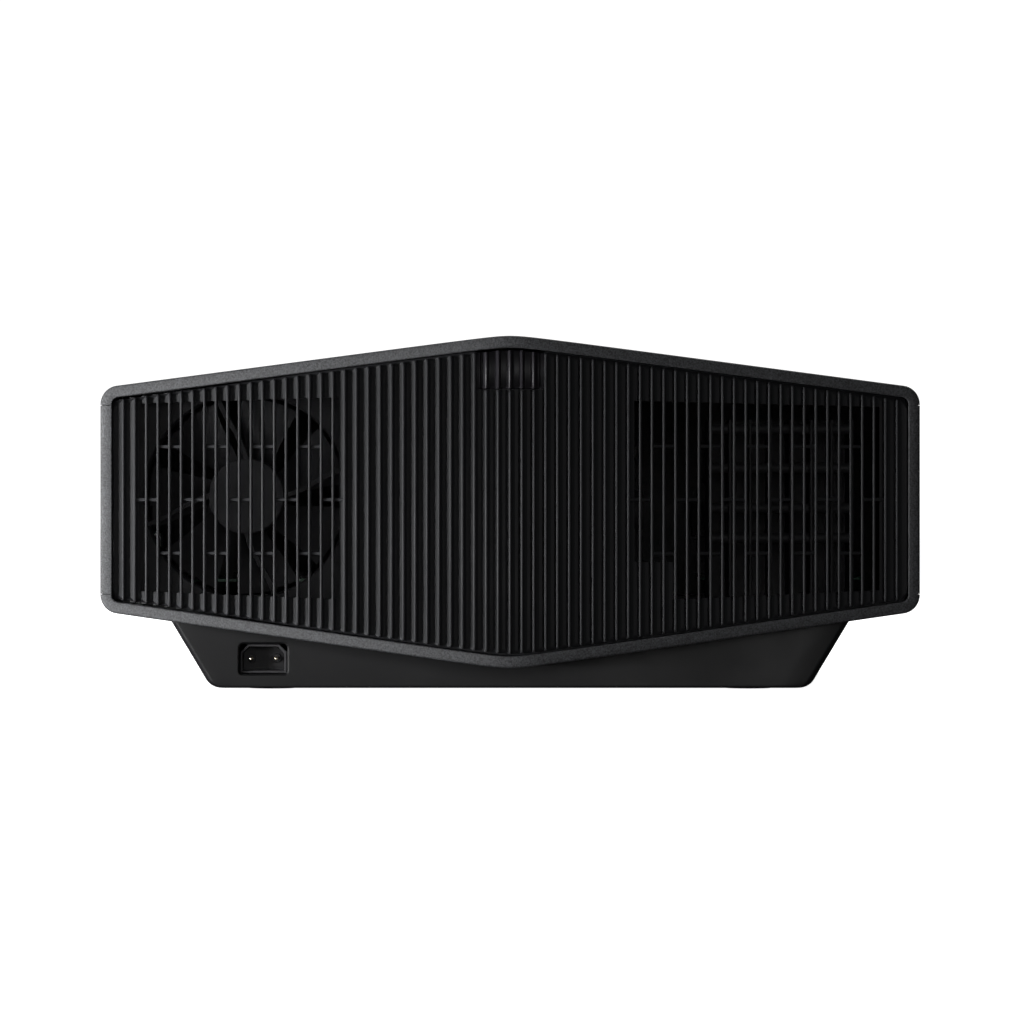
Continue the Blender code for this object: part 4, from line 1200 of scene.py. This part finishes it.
def round_block(mesh, axis, centre, half_a, half_b, radius, levels):
    """Loops of a rounded rectangle along an axis: (place, shrink) pairs joined into one closed skin."""
    rows = []
    for along, shrink in levels:
        outline = rounded_outline(
            half_a - shrink, half_b - shrink, max(radius - shrink, 0.0001), max(radius - shrink, 0.0001),
            4,
        )
        rows.append([mesh.verts.new(spot((centre[0] + a, centre[1] + b), axis, along)) for a, b in outline])
    solid_faces(mesh, rows)


def open_side_panel():
    """Cuts the terminal bay and the key holes through the left panel."""
    panel = bpy.data.objects["side_panel_left_fine"]
    (y0, y1), (z0, z1) = TERMINAL_BAY
    middle = ((y0 + y1) / 2, (z0 + z1) / 2)
    mesh = bmesh.new()
    face = -HALF_WIDTH
    levels = ((face - 0.002, -0.0020), (face, -0.0010), (face + 0.0008, 0.0), (face + 0.02, 0.0))
    round_block(mesh, "X", middle, (y1 - y0) / 2, (z1 - z0) / 2, 0.0060, levels)
    carve(panel, mesh)
    for y, z in key_places().values():
        bore = KEY_RADIUS + 0.0003
        hole = [
            (0, face - 0.002), (bore + 0.0026, face - 0.002), (bore, face + 0.0006), (bore, face + 0.02),
            (0, face + 0.02),
        ]
        carve(panel, turned(hole, "X", (0, y, z), 48))
    panel.data.set_sharp_from_angle(angle=math.radians(35))


def socket_places():
    """Each socket's name, then its place along Y, its width and its height."""
    return (
        ("lan_socket", -0.100, 0.0160, 0.0135),
        ("usb_socket", -0.074, 0.0145, 0.0074),
        ("hdmi_socket_1", -0.048, 0.0165, 0.0072),
        ("hdmi_socket_2", -0.023, 0.0165, 0.0072),
        ("serial_socket", 0.003, 0.0240, 0.0120),
        ("trigger_socket", 0.026, 0.0100, 0.0100),
    )


def make_terminal_plate():
    """The plate behind the bay: a hole for every socket and six screws."""
    low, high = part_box("terminal_plate")
    middle = ((low.y + high.y) / 2, (low.z + high.z) / 2)
    mesh = bmesh.new()
    levels = ((low.x, 0.0003), (low.x + 0.0003, 0.0), (high.x, 0.0))
    round_block(mesh, "X", middle, (high.y - low.y) / 2, (high.z - low.z) / 2, 0.0010, levels)
    plate = make_fine("terminal_plate", mesh, "satin_black")
    for _, y, width, height in socket_places():
        cutter = bmesh.new()
        levels = ((low.x - 0.001, 0.0), (high.x + 0.001, 0.0))
        round_block(cutter, "X", (y, SOCKET_Z), width / 2 + 0.0003, height / 2 + 0.0003, 0.0008, levels)
        carve(plate, cutter)
    plate.data.set_sharp_from_angle(angle=math.radians(35))
    screws = bmesh.new()
    for y in (-0.1150, -0.0350, 0.0350):
        for z in (0.0690, 0.0950):
            screw_into(screws, "X", (0, y, z), low.x, -1, 0.0022)
    make("terminal_screws", screws, "sheet_steel", replaces=["terminal_plate"], weld=False)


def screw_into(mesh, axis, centre, face, way, radius):
    """A pan-head screw with a cross recess, standing out of a face."""
    height = radius * 0.42
    profile = [(0, face - way * 0.0003), (radius, face - way * 0.0003), (radius, face + way * height * 0.35)]
    profile += [
        (radius * cosine(a), face + way * (height * 0.35 + height * 0.65 * sine(a)))
        for a in (25, 50, 70)
    ]
    profile += [
        (radius * 0.20, face + way * height), (radius * 0.12, face + way * height * 0.35),
        (0, face + way * height * 0.30),
    ]
    turned_into(mesh, profile, axis, centre, 24)


def contact_rows(name, y, width, height):
    """Where a socket's contacts stand: (y, z, half width, half height) of each."""
    if name == "lan_socket":
        return [(y + (k - 3.5) * 0.00115, SOCKET_Z + height / 2 - 0.0028, 0.00028, 0.0005) for k in range(8)]
    if name == "serial_socket":
        top = [(y + (k - 2) * 0.0028, SOCKET_Z + 0.0014, 0.0005, 0.0005) for k in range(5)]
        return top + [(y + (k - 1.5) * 0.0028, SOCKET_Z - 0.0014, 0.0005, 0.0005) for k in range(4)]
    if name == "trigger_socket":
        return []
    count = 4 if name == "usb_socket" else 9
    gap = width * 0.62 / count
    return [(y + (k - (count - 1) / 2) * gap, SOCKET_Z - 0.0006, gap * 0.28, 0.0002) for k in range(count)]


def socket_ring(name, half_w, half_h):
    """The mouth of each kind of socket."""
    if name.startswith("hdmi"):
        cut = half_h * 0.55
        return [
            (-half_w + cut, -half_h), (half_w - cut, -half_h), (half_w, -half_h + cut), (half_w, half_h),
            (-half_w, half_h), (-half_w, -half_h + cut),
        ]
    if name == "serial_socket":
        lean = half_h * 0.30
        return [(-half_w + lean, -half_h), (half_w - lean, -half_h), (half_w, half_h), (-half_w, half_h)]
    if name == "trigger_socket":
        return arc((0, 0), half_w, 0, 360 - 360 / 32, 31)
    return rounded_outline(half_w, half_h, 0.0005, 0.0005, 3)


def block_into(mesh, near, far, y, half_y, low, high):
    """A block inside a socket, centred on y, between two heights measured from the socket's middle."""
    box_into(mesh, (near, y - half_y, SOCKET_Z + low), (far, y + half_y, SOCKET_Z + high))


def insert_into(mesh, name, y, half_w, half_h, face, floor):
    """What stands inside a socket: a jack tube, a block with a tongue, or a plain core."""
    inner_w, inner_h = half_w - SOCKET_WALL * 1.2, half_h - SOCKET_WALL * 1.2
    if name == "trigger_socket":
        tube = [(0.0019, face + 0.0002), (0.0030, face + 0.0002), (0.0033, face + 0.0008), (0.0033, floor)]
        turned_into(mesh, tube + [(0.0019, floor)], "X", (0, y, SOCKET_Z), 32)
    elif name == "lan_socket":
        block_into(mesh, floor - 0.0005, floor, y, inner_w, -inner_h, inner_h)
        block_into(mesh, face + 0.0025, floor, y, inner_w * 0.72, inner_h - 0.0012, inner_h)
    elif name == "serial_socket":
        core = rounded_outline(half_w * 0.66, half_h * 0.48, 0.0008, 0.0008, 3)
        prism_into(mesh, [(y + a, SOCKET_Z + b) for a, b in core], "X", face + 0.0012, floor)
    else:
        block_into(mesh, floor - 0.0005, floor, y, inner_w * 0.9, -inner_h * 0.9, inner_h * 0.9)
        block_into(mesh, face + 0.0012, floor, y, inner_w * 0.74, -0.0004, 0.0008)


def make_sockets():
    """Every socket has a thin shell, a deep mouth in its own shape and an insert; all but the trigger socket
    have plated contacts.
    """
    contacts = bmesh.new()
    for name, y, width, height in socket_places():
        low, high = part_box(name)
        face, floor = low.x, low.x + SOCKET_DEPTH
        half_w, half_h = width / 2, height / 2
        mesh = bmesh.new()
        ring = socket_ring(name, half_w - SOCKET_WALL, half_h - SOCKET_WALL)
        outer = socket_ring(name, half_w, half_h)
        if name in ("serial_socket", "trigger_socket"):
            ring = socket_ring(name, half_w * 0.74, half_h * (0.60 if name == "serial_socket" else 0.74))
            outer = rounded_outline(half_w, half_h, 0.0012, 0.0012, 4)
        shell_into(mesh, outer, ring, y, face, high.x)
        make_fine(name, mesh, "sheet_steel", weld=False)
        insert = bmesh.new()
        insert_into(insert, name, y, half_w, half_h, face, floor)
        make(f"{name}_insert", insert, "engine_black", replaces=[name], weld=False)
        start = face + (0.0010 if name == "serial_socket" else 0.0020)
        for place_y, place_z, wide, tall in contact_rows(name, y, width, height):
            low_z, high_z = place_z - tall - SOCKET_Z, place_z + tall - SOCKET_Z
            block_into(contacts, start, floor - 0.0002, place_y, wide, low_z, high_z)
    held = ["lan_socket", "usb_socket", "serial_socket", "hdmi_socket_1"]
    make("socket_contacts", contacts, "brass", replaces=held, weld=False)


def shell_into(mesh, outer, ring, y, face, back):
    """A rolled-edge shell with its mouth, closed at the back."""
    def level(outline, x, shrink=0.0):
        reach = max(abs(a) for a, _ in outline)
        scale = 1 - shrink / reach
        return [mesh.verts.new((x, y + a * scale, SOCKET_Z + b * scale)) for a, b in outline]

    outside = [level(outer, back), level(outer, face + 0.0003), level(outer, face, 0.0002)]
    inside = [level(ring, face, -0.0001), level(ring, face + 0.0003), level(ring, back - 0.0010)]
    grid_faces(mesh, outside, closed=True)
    grid_faces(mesh, inside, closed=True)
    mesh.faces.new(outside[0])
    mesh.faces.new(list(reversed(inside[-1])))
    edges = []
    for loop in (outside[-1], inside[0]):
        for index, vertex in enumerate(loop):
            edges.append(mesh.edges.get((vertex, loop[(index + 1) % len(loop)])))
    bmesh.ops.triangle_fill(mesh, use_beauty=True, use_dissolve=False, edges=edges, normal=(-1, 0, 0))


def key_places():
    """The control keys' names, with their places along Y and Z."""
    centre, reach = -0.010, 0.0125
    return {
        "key_power": (-0.112, KEY_Z),
        "key_input": (-0.084, KEY_Z),
        "key_menu": (-0.056, KEY_Z),
        "key_up": (centre, KEY_Z + reach),
        "key_down": (centre, KEY_Z - reach),
        "key_left": (centre - reach, KEY_Z),
        "key_right": (centre + reach, KEY_Z),
        "key_enter": (centre, KEY_Z),
    }


def make_keys():
    """Dished keys with a soft edge and a moulded mark."""
    face = -HALF_WIDTH
    radius = KEY_RADIUS
    for name, (y, z) in key_places().items():
        profile = [
            (0, face + 0.00062), (0.0016, face + 0.00056), (0.0030, face + 0.00042),
            (0.0040, face + 0.00026),
        ]
        profile += [
            (0.0044, face + 0.0002), (radius - 0.0003, face + 0.0003), (radius - 0.0001, face + 0.0005),
            (radius, face + 0.0009),
        ]
        profile += [
            (radius, face + WALL + 0.0004), (radius + 0.0010, face + WALL + 0.0004),
            (radius + 0.0010, face + WALL + 0.0016), (0, face + WALL + 0.0016),
        ]
        make_fine(name, turned(profile, "X", (0, y, z), 64), "satin_black", f"{name}_body")
        mark = bmesh.new()
        for outline in mark_outlines(name):
            prism_into(mark, [(y + a, z + b) for a, b in outline], "X", face + 0.00028, face + 0.0012)
        make(f"{name}_mark", mark, "rubber", f"{name}_body", [name], weld=False)


def stroke(start, end, half=0.00022):
    """A short bar between two points."""
    run = Vector((end[0] - start[0], end[1] - start[1]))
    side = Vector((-run.y, run.x)).normalized() * half
    return [
        (start[0] + side.x, start[1] + side.y), (start[0] - side.x, start[1] - side.y),
        (end[0] - side.x, end[1] - side.y), (end[0] + side.x, end[1] + side.y),
    ]


def mark_outlines(name):
    """Generic marks: a broken ring, an arrow into a frame, three bars, arrow heads and a ring."""
    def ring(start, end, radius, half=0.00022, steps=14):
        outer = arc((0, 0), radius + half, start, end, steps)
        return outer + list(reversed(arc((0, 0), radius - half, start, end, steps)))

    heads = {"key_up": 90, "key_down": -90, "key_left": 180, "key_right": 0}
    if name in heads:
        turn = math.radians(heads[name])
        points = [(0.0016, 0.0), (-0.0009, 0.0015), (-0.0009, -0.0015)]
        return [
            [
                (a * math.cos(turn) - b * math.sin(turn), a * math.sin(turn) + b * math.cos(turn))
                for a, b in points
            ]
        ]
    if name == "key_power":
        return [ring(125, 270, 0.0016), ring(270, 415, 0.0016), stroke((0, 0.0004), (0, 0.0020))]
    if name == "key_input":
        return [
            ring(-140, 0, 0.0016), ring(0, 140, 0.0016), stroke((-0.0022, 0), (0.0004, 0)),
            [(0.0010, 0), (0.0, 0.0007), (0.0, -0.0007)],
        ]
    if name == "key_menu":
        return [stroke((-0.0015, b), (0.0015, b)) for b in (-0.0010, 0.0, 0.0010)]
    return [ring(0, 180, 0.0014), ring(180, 360, 0.0014)]


# ---------------------------------------------------------------- cooling and chassis


def blade_into(mesh, centre, inner, outer, low, high, turn, share):
    """A curved, twisted fan blade with a rounded leading edge."""
    across, along = 6, 7
    front, back = [], []
    for step in range(along + 1):
        part = step / along
        radius = inner + (outer - inner) * part
        sweep = 0.30 * part - 0.18 * part ** 2
        flat = 1 - 0.35 * part
        for side, rows in ((0.0, front), (1.0, back)):
            row = []
            for number in range(across + 1):
                chord = number / across
                angle = turn + sweep + share * 0.72 * chord
                bow = 0.0022 * math.sin(math.pi * chord)
                thick = 0.0003 + 0.0011 * math.sin(math.pi * min(1.0, chord * 1.2 + 0.12)) ** 0.7
                middle = (low + high) / 2
                y = middle + (high - low) * (chord - 0.5) * flat + bow * 0.5 + (side - 0.5) * thick
                row.append(
                    mesh.verts.new(
                        (centre[0] + radius * math.cos(angle), y, centre[2] + radius * math.sin(angle))
                    )
                )
            rows.append(row)
    rings = [a + list(reversed(b)) for a, b in zip(front, back)]
    solid_faces(mesh, rings)


def make_fan_frame(prefix, centre, size, depth, hub):
    """A moulded frame with flanged corners, and a motor seat on curved struts."""
    x, y, z = centre
    half, back, front = size / 2, y - depth / 2, y + depth / 2
    bore = half - FAN_WALL
    strut = FAN_STRUT
    mesh = bmesh.new()
    count = 96

    def square(radius, angle, corner):
        """Where a ray leaves a square with cut corners."""
        reach = radius / max(abs(math.cos(angle)), abs(math.sin(angle)))
        cut = (2 * radius - corner) / (abs(math.cos(angle)) + abs(math.sin(angle)))
        return min(reach, cut)

    def waist(angle):
        """The frame's middle is round between its flanges."""
        return min(square(half, angle, 0.006), bore + 0.0022)

    rows = []
    for level, shape in (
        (back, "edge"), (back + 0.0034, "edge"), (back + 0.0038, "waist"), (front - 0.0038, "waist"),
        (front - 0.0034, "edge"),
        (front, "edge"), (front, "bore_lip"), (front - 0.0015, "bore"), (back + 0.0015, "bore"),
        (back, "bore_lip"),
    ):
        row = []
        for step in range(count):
            angle = 2 * math.pi * step / count
            reach = {
                "edge": square(half, angle, 0.004), "waist": waist(angle), "bore": bore,
                "bore_lip": bore + 0.0010,
            }[shape]
            row.append(mesh.verts.new((x + reach * math.cos(angle), level, z + reach * math.sin(angle))))
        rows.append(row)
    grid_faces(mesh, rows + rows[:1], closed=True)
    for number in range(4):
        start = math.pi / 2 * number
        rail = []
        for step in range(7):
            radius = hub - 0.0005 + (bore + 0.0008 - hub) * step / 6
            angle = start + 0.28 * math.sin(math.pi * step / 12)
            out = Vector((math.cos(angle), 0, math.sin(angle)))
            side = Vector((-out.z, 0, out.x)) * 0.0016
            middle = Vector((x, back, z)) + out * radius
            lift = Vector((0, strut, 0))
            rail.append(
                [
                    mesh.verts.new(middle + p)
                    for p in (
                        side * 0.7, side + lift * 0.2, side + lift, -side + lift, -side + lift * 0.2,
                        -side * 0.7,
                    )
                ]
            )
        solid_faces(mesh, rail)
    seat = [
        (0, back + 0.0004), (hub * 0.30, back + 0.0004), (hub * 0.36, back), (hub - 0.0008, back),
        (hub, back + 0.0008), (hub, back + strut), (0, back + strut),
    ]
    turned_into(mesh, seat, "Y", (x, 0, z), 64)
    make_fine(f"{prefix}_fan_frame", mesh, "engine_black", weld=False, angle=30)


def make_fan_rotor(prefix, centre, size, depth, hub, blades):
    """A hub with swept blades."""
    x, y, z = centre
    bore = size / 2 - FAN_WALL
    start, end = y - depth / 2 + FAN_STRUT + 0.0005, y + depth / 2 - 0.0010
    rotor = bmesh.new()
    profile = [
        (0, start), (hub - 0.0006, start), (hub, start + 0.0006), (hub, end - 0.0024),
        (hub - 0.0007, end - 0.0007),
    ]
    profile += [(hub - 0.0024, end), (hub * 0.62, end), (hub * 0.58, end - 0.0005), (0, end - 0.0005)]
    turned_into(rotor, profile, "Y", (x, 0, z), 64)
    for number in range(blades):
        turn = 2 * math.pi * number / blades
        blade_into(
            rotor, centre, hub - 0.0012, bore - 0.0022, start + 0.0016, end - 0.0022, turn,
            2 * math.pi / blades,
        )
    make_fine(f"{prefix}_fan_rotor", rotor, "engine_black", f"{prefix}_rotor", weld=False, angle=40)


def make_heat_sink():
    """Upright fins with rounded tips, pierced by four heat pipes, on a plain base."""
    low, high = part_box("laser_heat_sink")
    left, right = low.x, high.x
    soft, root = FIN_HALF / 2, SINK_ROOT_Y + 0.0005
    mesh = bmesh.new()
    for fin in range(SINK_FINS):
        x = left + fin * SINK_PITCH
        end = x + 2 * FIN_HALF
        outline = [(x, root), (x, low.y + soft), (x + soft, low.y), (end - soft, low.y), (end, low.y + soft)]
        prism_into(mesh, outline + [(end, root)], "Z", low.z, high.z)
    box_into(mesh, (left, SINK_ROOT_Y, low.z), (right, high.y, high.z))
    radius = HEAT_PIPE_RADIUS
    profile = [(0, left + 0.0001), (radius * 0.5, left + 0.0003), (radius, left + 0.0010)]
    profile += [(radius, right - 0.0010), (radius * 0.5, right - 0.0003), (0, right - 0.0001)]
    for height in HEAT_PIPE_Z:
        turned_into(mesh, profile, "X", (0, HEAT_PIPE_Y, height), 24)
    # painted shade: the fins take the black engine finish in place of bare aluminium, standing in for the
    # shade inside the case
    make_fine("laser_heat_sink", mesh, "engine_black", weld=False)


# ---------------------------------------------------------------- inside


def make_plain_part(name, width, angle=30):
    """A bracket or plate: the CAD shape with its edges rounded inward."""
    node = frame["nodes"][name]
    slot = [part["material_slot"] for part in frame["record"]["subparts"] if part["node"] == name][0]
    mesh = bmesh.new()
    mesh.from_mesh(node.data)
    bmesh.ops.transform(mesh, matrix=node.matrix_world, verts=mesh.verts)
    bmesh.ops.remove_doubles(mesh, verts=mesh.verts, dist=1e-6)
    bmesh.ops.dissolve_limit(mesh, angle_limit=math.radians(1), verts=mesh.verts, edges=mesh.edges)
    limit = math.radians(angle)
    shared = [edge for edge in mesh.edges if len(edge.link_faces) == 2 and edge.is_convex]
    sharp = [edge for edge in shared if edge.calc_face_angle() > limit]
    bmesh.ops.bevel(
        mesh, geom=sharp, offset=width, segments=2, profile=0.5, affect="EDGES", clamp_overlap=True,
    )
    make_fine(name, mesh, slot, node["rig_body"], angle=angle)


def lump_into(mesh, x, y, half_x, half_y, base, top, edge=0.0003):
    """A component standing on a board, with rounded corners and a softened top."""
    levels = ((base, 0.0), (top - edge, 0.0), (top - edge * 0.3, edge * 0.3), (top, edge))
    round_block(mesh, "Z", (x, y), half_x, half_y, edge * 1.5, levels)


def can_into(mesh, x, y, radius, base, top):
    """A capacitor: rolled foot, scored top."""
    profile = [(0, base), (radius * 0.94, base), (radius, base + 0.0004), (radius, base + 0.0012)]
    profile += [(radius * 0.95, base + 0.0016), (radius, base + 0.0020), (radius, top - 0.0006)]
    profile += [
        (radius * 0.94, top - 0.0001), (radius * 0.84, top), (radius * 0.80, top - 0.0003),
        (0, top - 0.0003),
    ]
    turned_into(mesh, profile, "Z", (x, y, 0), 32)


def scatter_into(mesh, dice, area, taken, base, limit, count):
    """Small components at free places of a board."""
    for _ in range(count):
        half_x, half_y = dice.choice(((0.0016, 0.0008), (0.0010, 0.0006), (0.0026, 0.0022), (0.0042, 0.0030)))
        x = area[0] + 0.004 + half_x + dice.random() * (area[2] - area[0] - 0.008 - 2 * half_x)
        y = area[1] + 0.004 + half_y + dice.random() * (area[3] - area[1] - 0.008 - 2 * half_y)
        spread_out = (x - half_x, y - half_y, x + half_x, y + half_y)
        if any(
            a[0] < spread_out[2] and a[2] > spread_out[0] and a[1] < spread_out[3] and a[3] > spread_out[1]
            for a in taken
        ):
            continue
        taken.append(spread_out)
        lump_into(
            mesh, x, y, half_x, half_y, base - 0.0001, min(limit, base + 0.0005 + 0.35 * half_x), 0.00015,
        )


def make_board(name, area, blocks, cans, seed):
    """A circuit board: the sheet, its chips with pin rows, capacitors and a scatter of small parts."""
    top = BOARD_TOP
    sheet = bmesh.new()
    middle = ((area[0] + area[2]) / 2, (area[1] + area[3]) / 2)
    levels = ((BOARD_Z, 0.0001), (BOARD_Z + 0.0001, 0.0), (top - 0.0001, 0.0), (top, 0.0001))
    round_block(sheet, "Z", middle, (area[2] - area[0]) / 2, (area[3] - area[1]) / 2, 0.0020, levels)
    make(f"{name}_sheet", sheet, "board_green", replaces=[name])
    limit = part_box(name)[1].z
    black, metal, taken = bmesh.new(), bmesh.new(), []
    for x, y, size_x, size_y, height in blocks:
        taken.append((x - 0.002, y - 0.002, x + size_x + 0.002, y + size_y + 0.002))
        lump_into(
            black, x + size_x / 2, y + size_y / 2, size_x / 2, size_y / 2, top - 0.0001, top + height,
            0.0005,
        )
        pins = int(size_x / PIN_PITCH) - 1
        for number in range(pins):
            pin_x = x + size_x / 2 + (number - (pins - 1) / 2) * PIN_PITCH
            for pin_y in (y - 0.0006, y + size_y + 0.0006):
                lump_into(metal, pin_x, pin_y, 0.0003, 0.0008, top - 0.0001, top + 0.0005, 0.0001)
    for x, y, radius, height in cans:
        taken.append((x - radius, y - radius, x + radius, y + radius))
        can_into(metal, x, y, radius, top - 0.0001, min(limit, top + height))
    dice = random.Random(seed)
    scatter_into(black, dice, area, taken, top, limit, 90)
    make(f"{name}_chips", black, "engine_black", replaces=[name], weld=False)
    make(f"{name}_pins", metal, "sheet_steel", replaces=[name], weld=False)


def make_engine():
    """The cast optical housing: a lid line, ribs along both sides and screwed lid corners."""
    low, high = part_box("optical_engine")
    chamfer = 0.0150

    def outline(inset):
        return [
            (low.x + inset, low.y + inset), (high.x - chamfer - 0.4 * inset, low.y + inset),
            (high.x - inset, low.y + chamfer + 0.4 * inset), (high.x - inset, high.y - inset),
            (low.x + inset, high.y - inset),
        ]

    mesh = bmesh.new()
    lid = high.z - 0.0080
    levels = (
        (low.z, 0.0036), (low.z + 0.0006, 0.0030), (lid, 0.0024), (lid + 0.0001, 0.0003),
        (lid + 0.0004, 0.0),
    )
    levels += (
        (high.z - 0.0030, 0.0), (high.z - 0.0024, 0.0006), (high.z - 0.0020, 0.0050),
        (high.z - 0.0012, 0.0056),
    )
    rows = [[mesh.verts.new((x, y, z)) for x, y in outline(inset)] for z, inset in levels]
    solid_faces(mesh, rows)
    for number in range(7):
        x = low.x + 0.014 + number * 0.0180
        lump_into(mesh, x, high.y - 0.0020, 0.0011, 0.0016, low.z + 0.0020, lid, 0.0004)
        lump_into(mesh, x, low.y + 0.0020, 0.0011, 0.0016, low.z + 0.0020, lid, 0.0004)
    corners = ((low.x + 0.009, low.y + 0.009), (high.x - 0.024, low.y + 0.009))
    corners += ((high.x - 0.009, high.y - 0.009), (low.x + 0.009, high.y - 0.009))
    for x, y in corners:
        screw_into(mesh, "Z", (x, y, 0), high.z - 0.0013, 1, 0.0026)
    make_fine("optical_engine", mesh, "cast_aluminium", weld=False, angle=30)


def make_laser():
    """The laser block: a screwed cover with a raised centre."""
    low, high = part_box("laser_module")
    middle = ((low.x + high.x) / 2, (low.y + high.y) / 2)
    half_x, half_y = (high.x - low.x) / 2, (high.y - low.y) / 2
    mesh = bmesh.new()
    levels = ((low.z, 0.0006), (low.z + 0.0006, 0.0), (high.z - 0.0050, 0.0), (high.z - 0.0044, 0.0006))
    levels += ((high.z - 0.0044, 0.0014), (high.z - 0.0026, 0.0014), (high.z - 0.0022, 0.0018))
    round_block(mesh, "Z", middle, half_x, half_y, 0.0030, levels)
    lump_into(
        mesh, middle[0], middle[1], half_x - 0.0120, half_y - 0.0100, high.z - 0.0024, high.z - 0.0002,
        0.0008,
    )
    for x in (low.x + 0.0060, high.x - 0.0060):
        for y in (low.y + 0.0060, high.y - 0.0060):
            screw_into(mesh, "Z", (x, y, 0), high.z - 0.0022, 1, 0.0022)
    make_fine("laser_module", mesh, "engine_black", weld=False, angle=30)


def make_wheel():
    """The phosphor wheel: a thin disc in a clamp."""
    low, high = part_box("phosphor_wheel")
    centre = (0.0, (low.y + high.y) / 2, (low.z + high.z) / 2)
    reach, clamp, plate = (high.z - low.z) / 2, 0.0100, low.x + 0.0004
    profile = [
        (0, low.x), (clamp - 0.0002, low.x), (clamp, low.x + 0.0002), (clamp, plate),
        (reach - 0.0003, plate),
    ]
    profile += [(reach, plate + 0.0003), (reach, high.x - 0.0003), (reach - 0.0003, high.x), (0, high.x)]
    body = frame["nodes"]["phosphor_wheel"]["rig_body"]
    make_fine("phosphor_wheel", turned(profile, "X", centre, 96), "phosphor", body, angle=30)


def make_inside():
    """What can be made out through the windows, and what sits behind it."""
    make_plain_part("wheel_motor", 0.0008)
    make_plain_part("chassis_plate", 0.0003)
    make_engine()
    make_laser()
    make_wheel()
    make_board("main_board", MAIN_BOARD, MAIN_CHIPS, MAIN_CANS, 5)
    make_board("power_board", POWER_BOARD, TRANSFORMER, POWER_CANS, 9)


# ---------------------------------------------------------------- camera, floor and light


def aim(obj, target):
    """Turns a camera or lamp toward a point."""
    obj.rotation_mode = "QUATERNION"
    obj.rotation_quaternion = (Vector(target) - obj.location).to_track_quat("-Z", "Y")


def make_camera():
    """Straight from behind and far off, as in the photo."""
    data = bpy.data.cameras.new("camera")
    camera = bpy.data.objects.new("camera", data)
    bpy.context.scene.collection.objects.link(camera)
    data.sensor_width = 36.0
    data.lens = data.sensor_width * CAMERA_DISTANCE / FRAME_WIDTH
    data.shift_x = 0.0018
    data.shift_y = -0.0107
    data.clip_end = 50.0
    camera.location = (0.0, -HALF_DEPTH - CAMERA_DISTANCE, HORIZON_Z)
    aim(camera, (0.0, 0.0, HORIZON_Z))
    bpy.context.scene.camera = camera


def softbox(name, place, target, width, height, power):
    """A rectangular lamp."""
    data = bpy.data.lights.new(name, "AREA")
    data.shape = "RECTANGLE"
    data.size, data.size_y = width, height
    data.energy = power
    lamp = bpy.data.objects.new(name, data)
    bpy.context.scene.collection.objects.link(lamp)
    lamp.location = place
    aim(lamp, target)
    return lamp


def make_studio():
    """Softboxes, a white floor, and a world that is bright to the camera and dim to the object."""
    rear_middle = (0.0, -HALF_DEPTH + REAR_V_DEPTH, HORIZON_Z)
    softbox("key_left", (-0.70, -0.50, 0.07), rear_middle, 0.34, 0.30, 7.8)
    softbox("key_low", (-0.80, -0.62, 0.012), (0.0, -PLINTH_HALF_DEPTH, 0.010), 0.40, 0.020, 5.6)
    softbox("fill_rear", (0.2, -3.3, 0.34), rear_middle, 1.0, 0.7, 11.0)
    softbox("top", (0.2, 0.5, 2.2), (0, 0.1, 0.1), 1.6, 1.6, 30.0)
    softbox("lens_side", (-1.4, 2.4, 1.1), (0, 0.2, 0.1), 1.4, 1.0, 40.0)
    mesh = bmesh.new()
    bmesh.ops.create_grid(mesh, x_segments=2, y_segments=2, size=14.0)
    floor = placed("floor", mesh)
    floor.location.z = -0.0002
    pale = bpy.data.materials.new("floor")
    pale.use_nodes = True
    shader = pale.node_tree.nodes["Principled BSDF"]
    shader.inputs["Base Color"].default_value = (0.90, 0.90, 0.90, 1)
    shader.inputs["Roughness"].default_value = 0.9
    shader.inputs["Emission Color"].default_value = (1, 1, 1, 1)
    shader.inputs["Emission Strength"].default_value = 1.0
    floor.data.materials.append(pale)
    floor.visible_diffuse = False
    floor.visible_glossy = False
    world = bpy.data.worlds.new("studio")
    world.use_nodes = True
    bpy.context.scene.world = world
    tree = world.node_tree
    backdrop = tree.nodes["Background"]
    backdrop.inputs["Color"].default_value = (1, 1, 1, 1)
    backdrop.inputs["Strength"].default_value = 1.1
    dim = add_node(tree, "ShaderNodeBackground")
    dim.inputs["Color"].default_value = (1, 1, 1, 1)
    dim.inputs["Strength"].default_value = 0.045
    seen = add_node(tree, "ShaderNodeLightPath").outputs["Is Camera Ray"]
    mixed = add_node(tree, "ShaderNodeMixShader")
    tree.links.new(seen, mixed.inputs["Fac"])
    tree.links.new(dim.outputs["Background"], mixed.inputs[1])
    tree.links.new(backdrop.outputs["Background"], mixed.inputs[2])
    output = [node for node in tree.nodes if node.type == "OUTPUT_WORLD"][0]
    tree.links.new(mixed.outputs["Shader"], output.inputs["Surface"])
    bpy.context.scene.view_settings.view_transform = "Standard"


def dress_cad():
    """Every CAD node that keeps its own shape gets the finish of its slot."""
    for part in frame["record"]["subparts"]:
        node = frame["nodes"][part["node"]]
        for index in range(len(node.material_slots)):
            node.material_slots[index].material = SURFACES[part["material_slot"]]
        if not node.material_slots:
            node.data.materials.append(SURFACES[part["material_slot"]])


make_camera()
make_studio()
dress_cad()
make_case()
make_seam_tongues()
make_louvre_plate()
make_slats()
make_ir_window()
make_plinth()
make_inlet()
make_feet()
make_front_panel()
make_front_louvres()
make_surround()
make_barrel()
make_element()
make_grip_rings()
make_dials()
make_receiver()
open_side_panel()
make_terminal_plate()
make_sockets()
make_keys()
for prefix, fan in (("intake", INTAKE_FAN), ("exhaust", EXHAUST_FAN)):
    make_fan_frame(prefix, *fan[:4])
    make_fan_rotor(prefix, *fan)
make_heat_sink()
make_inside()
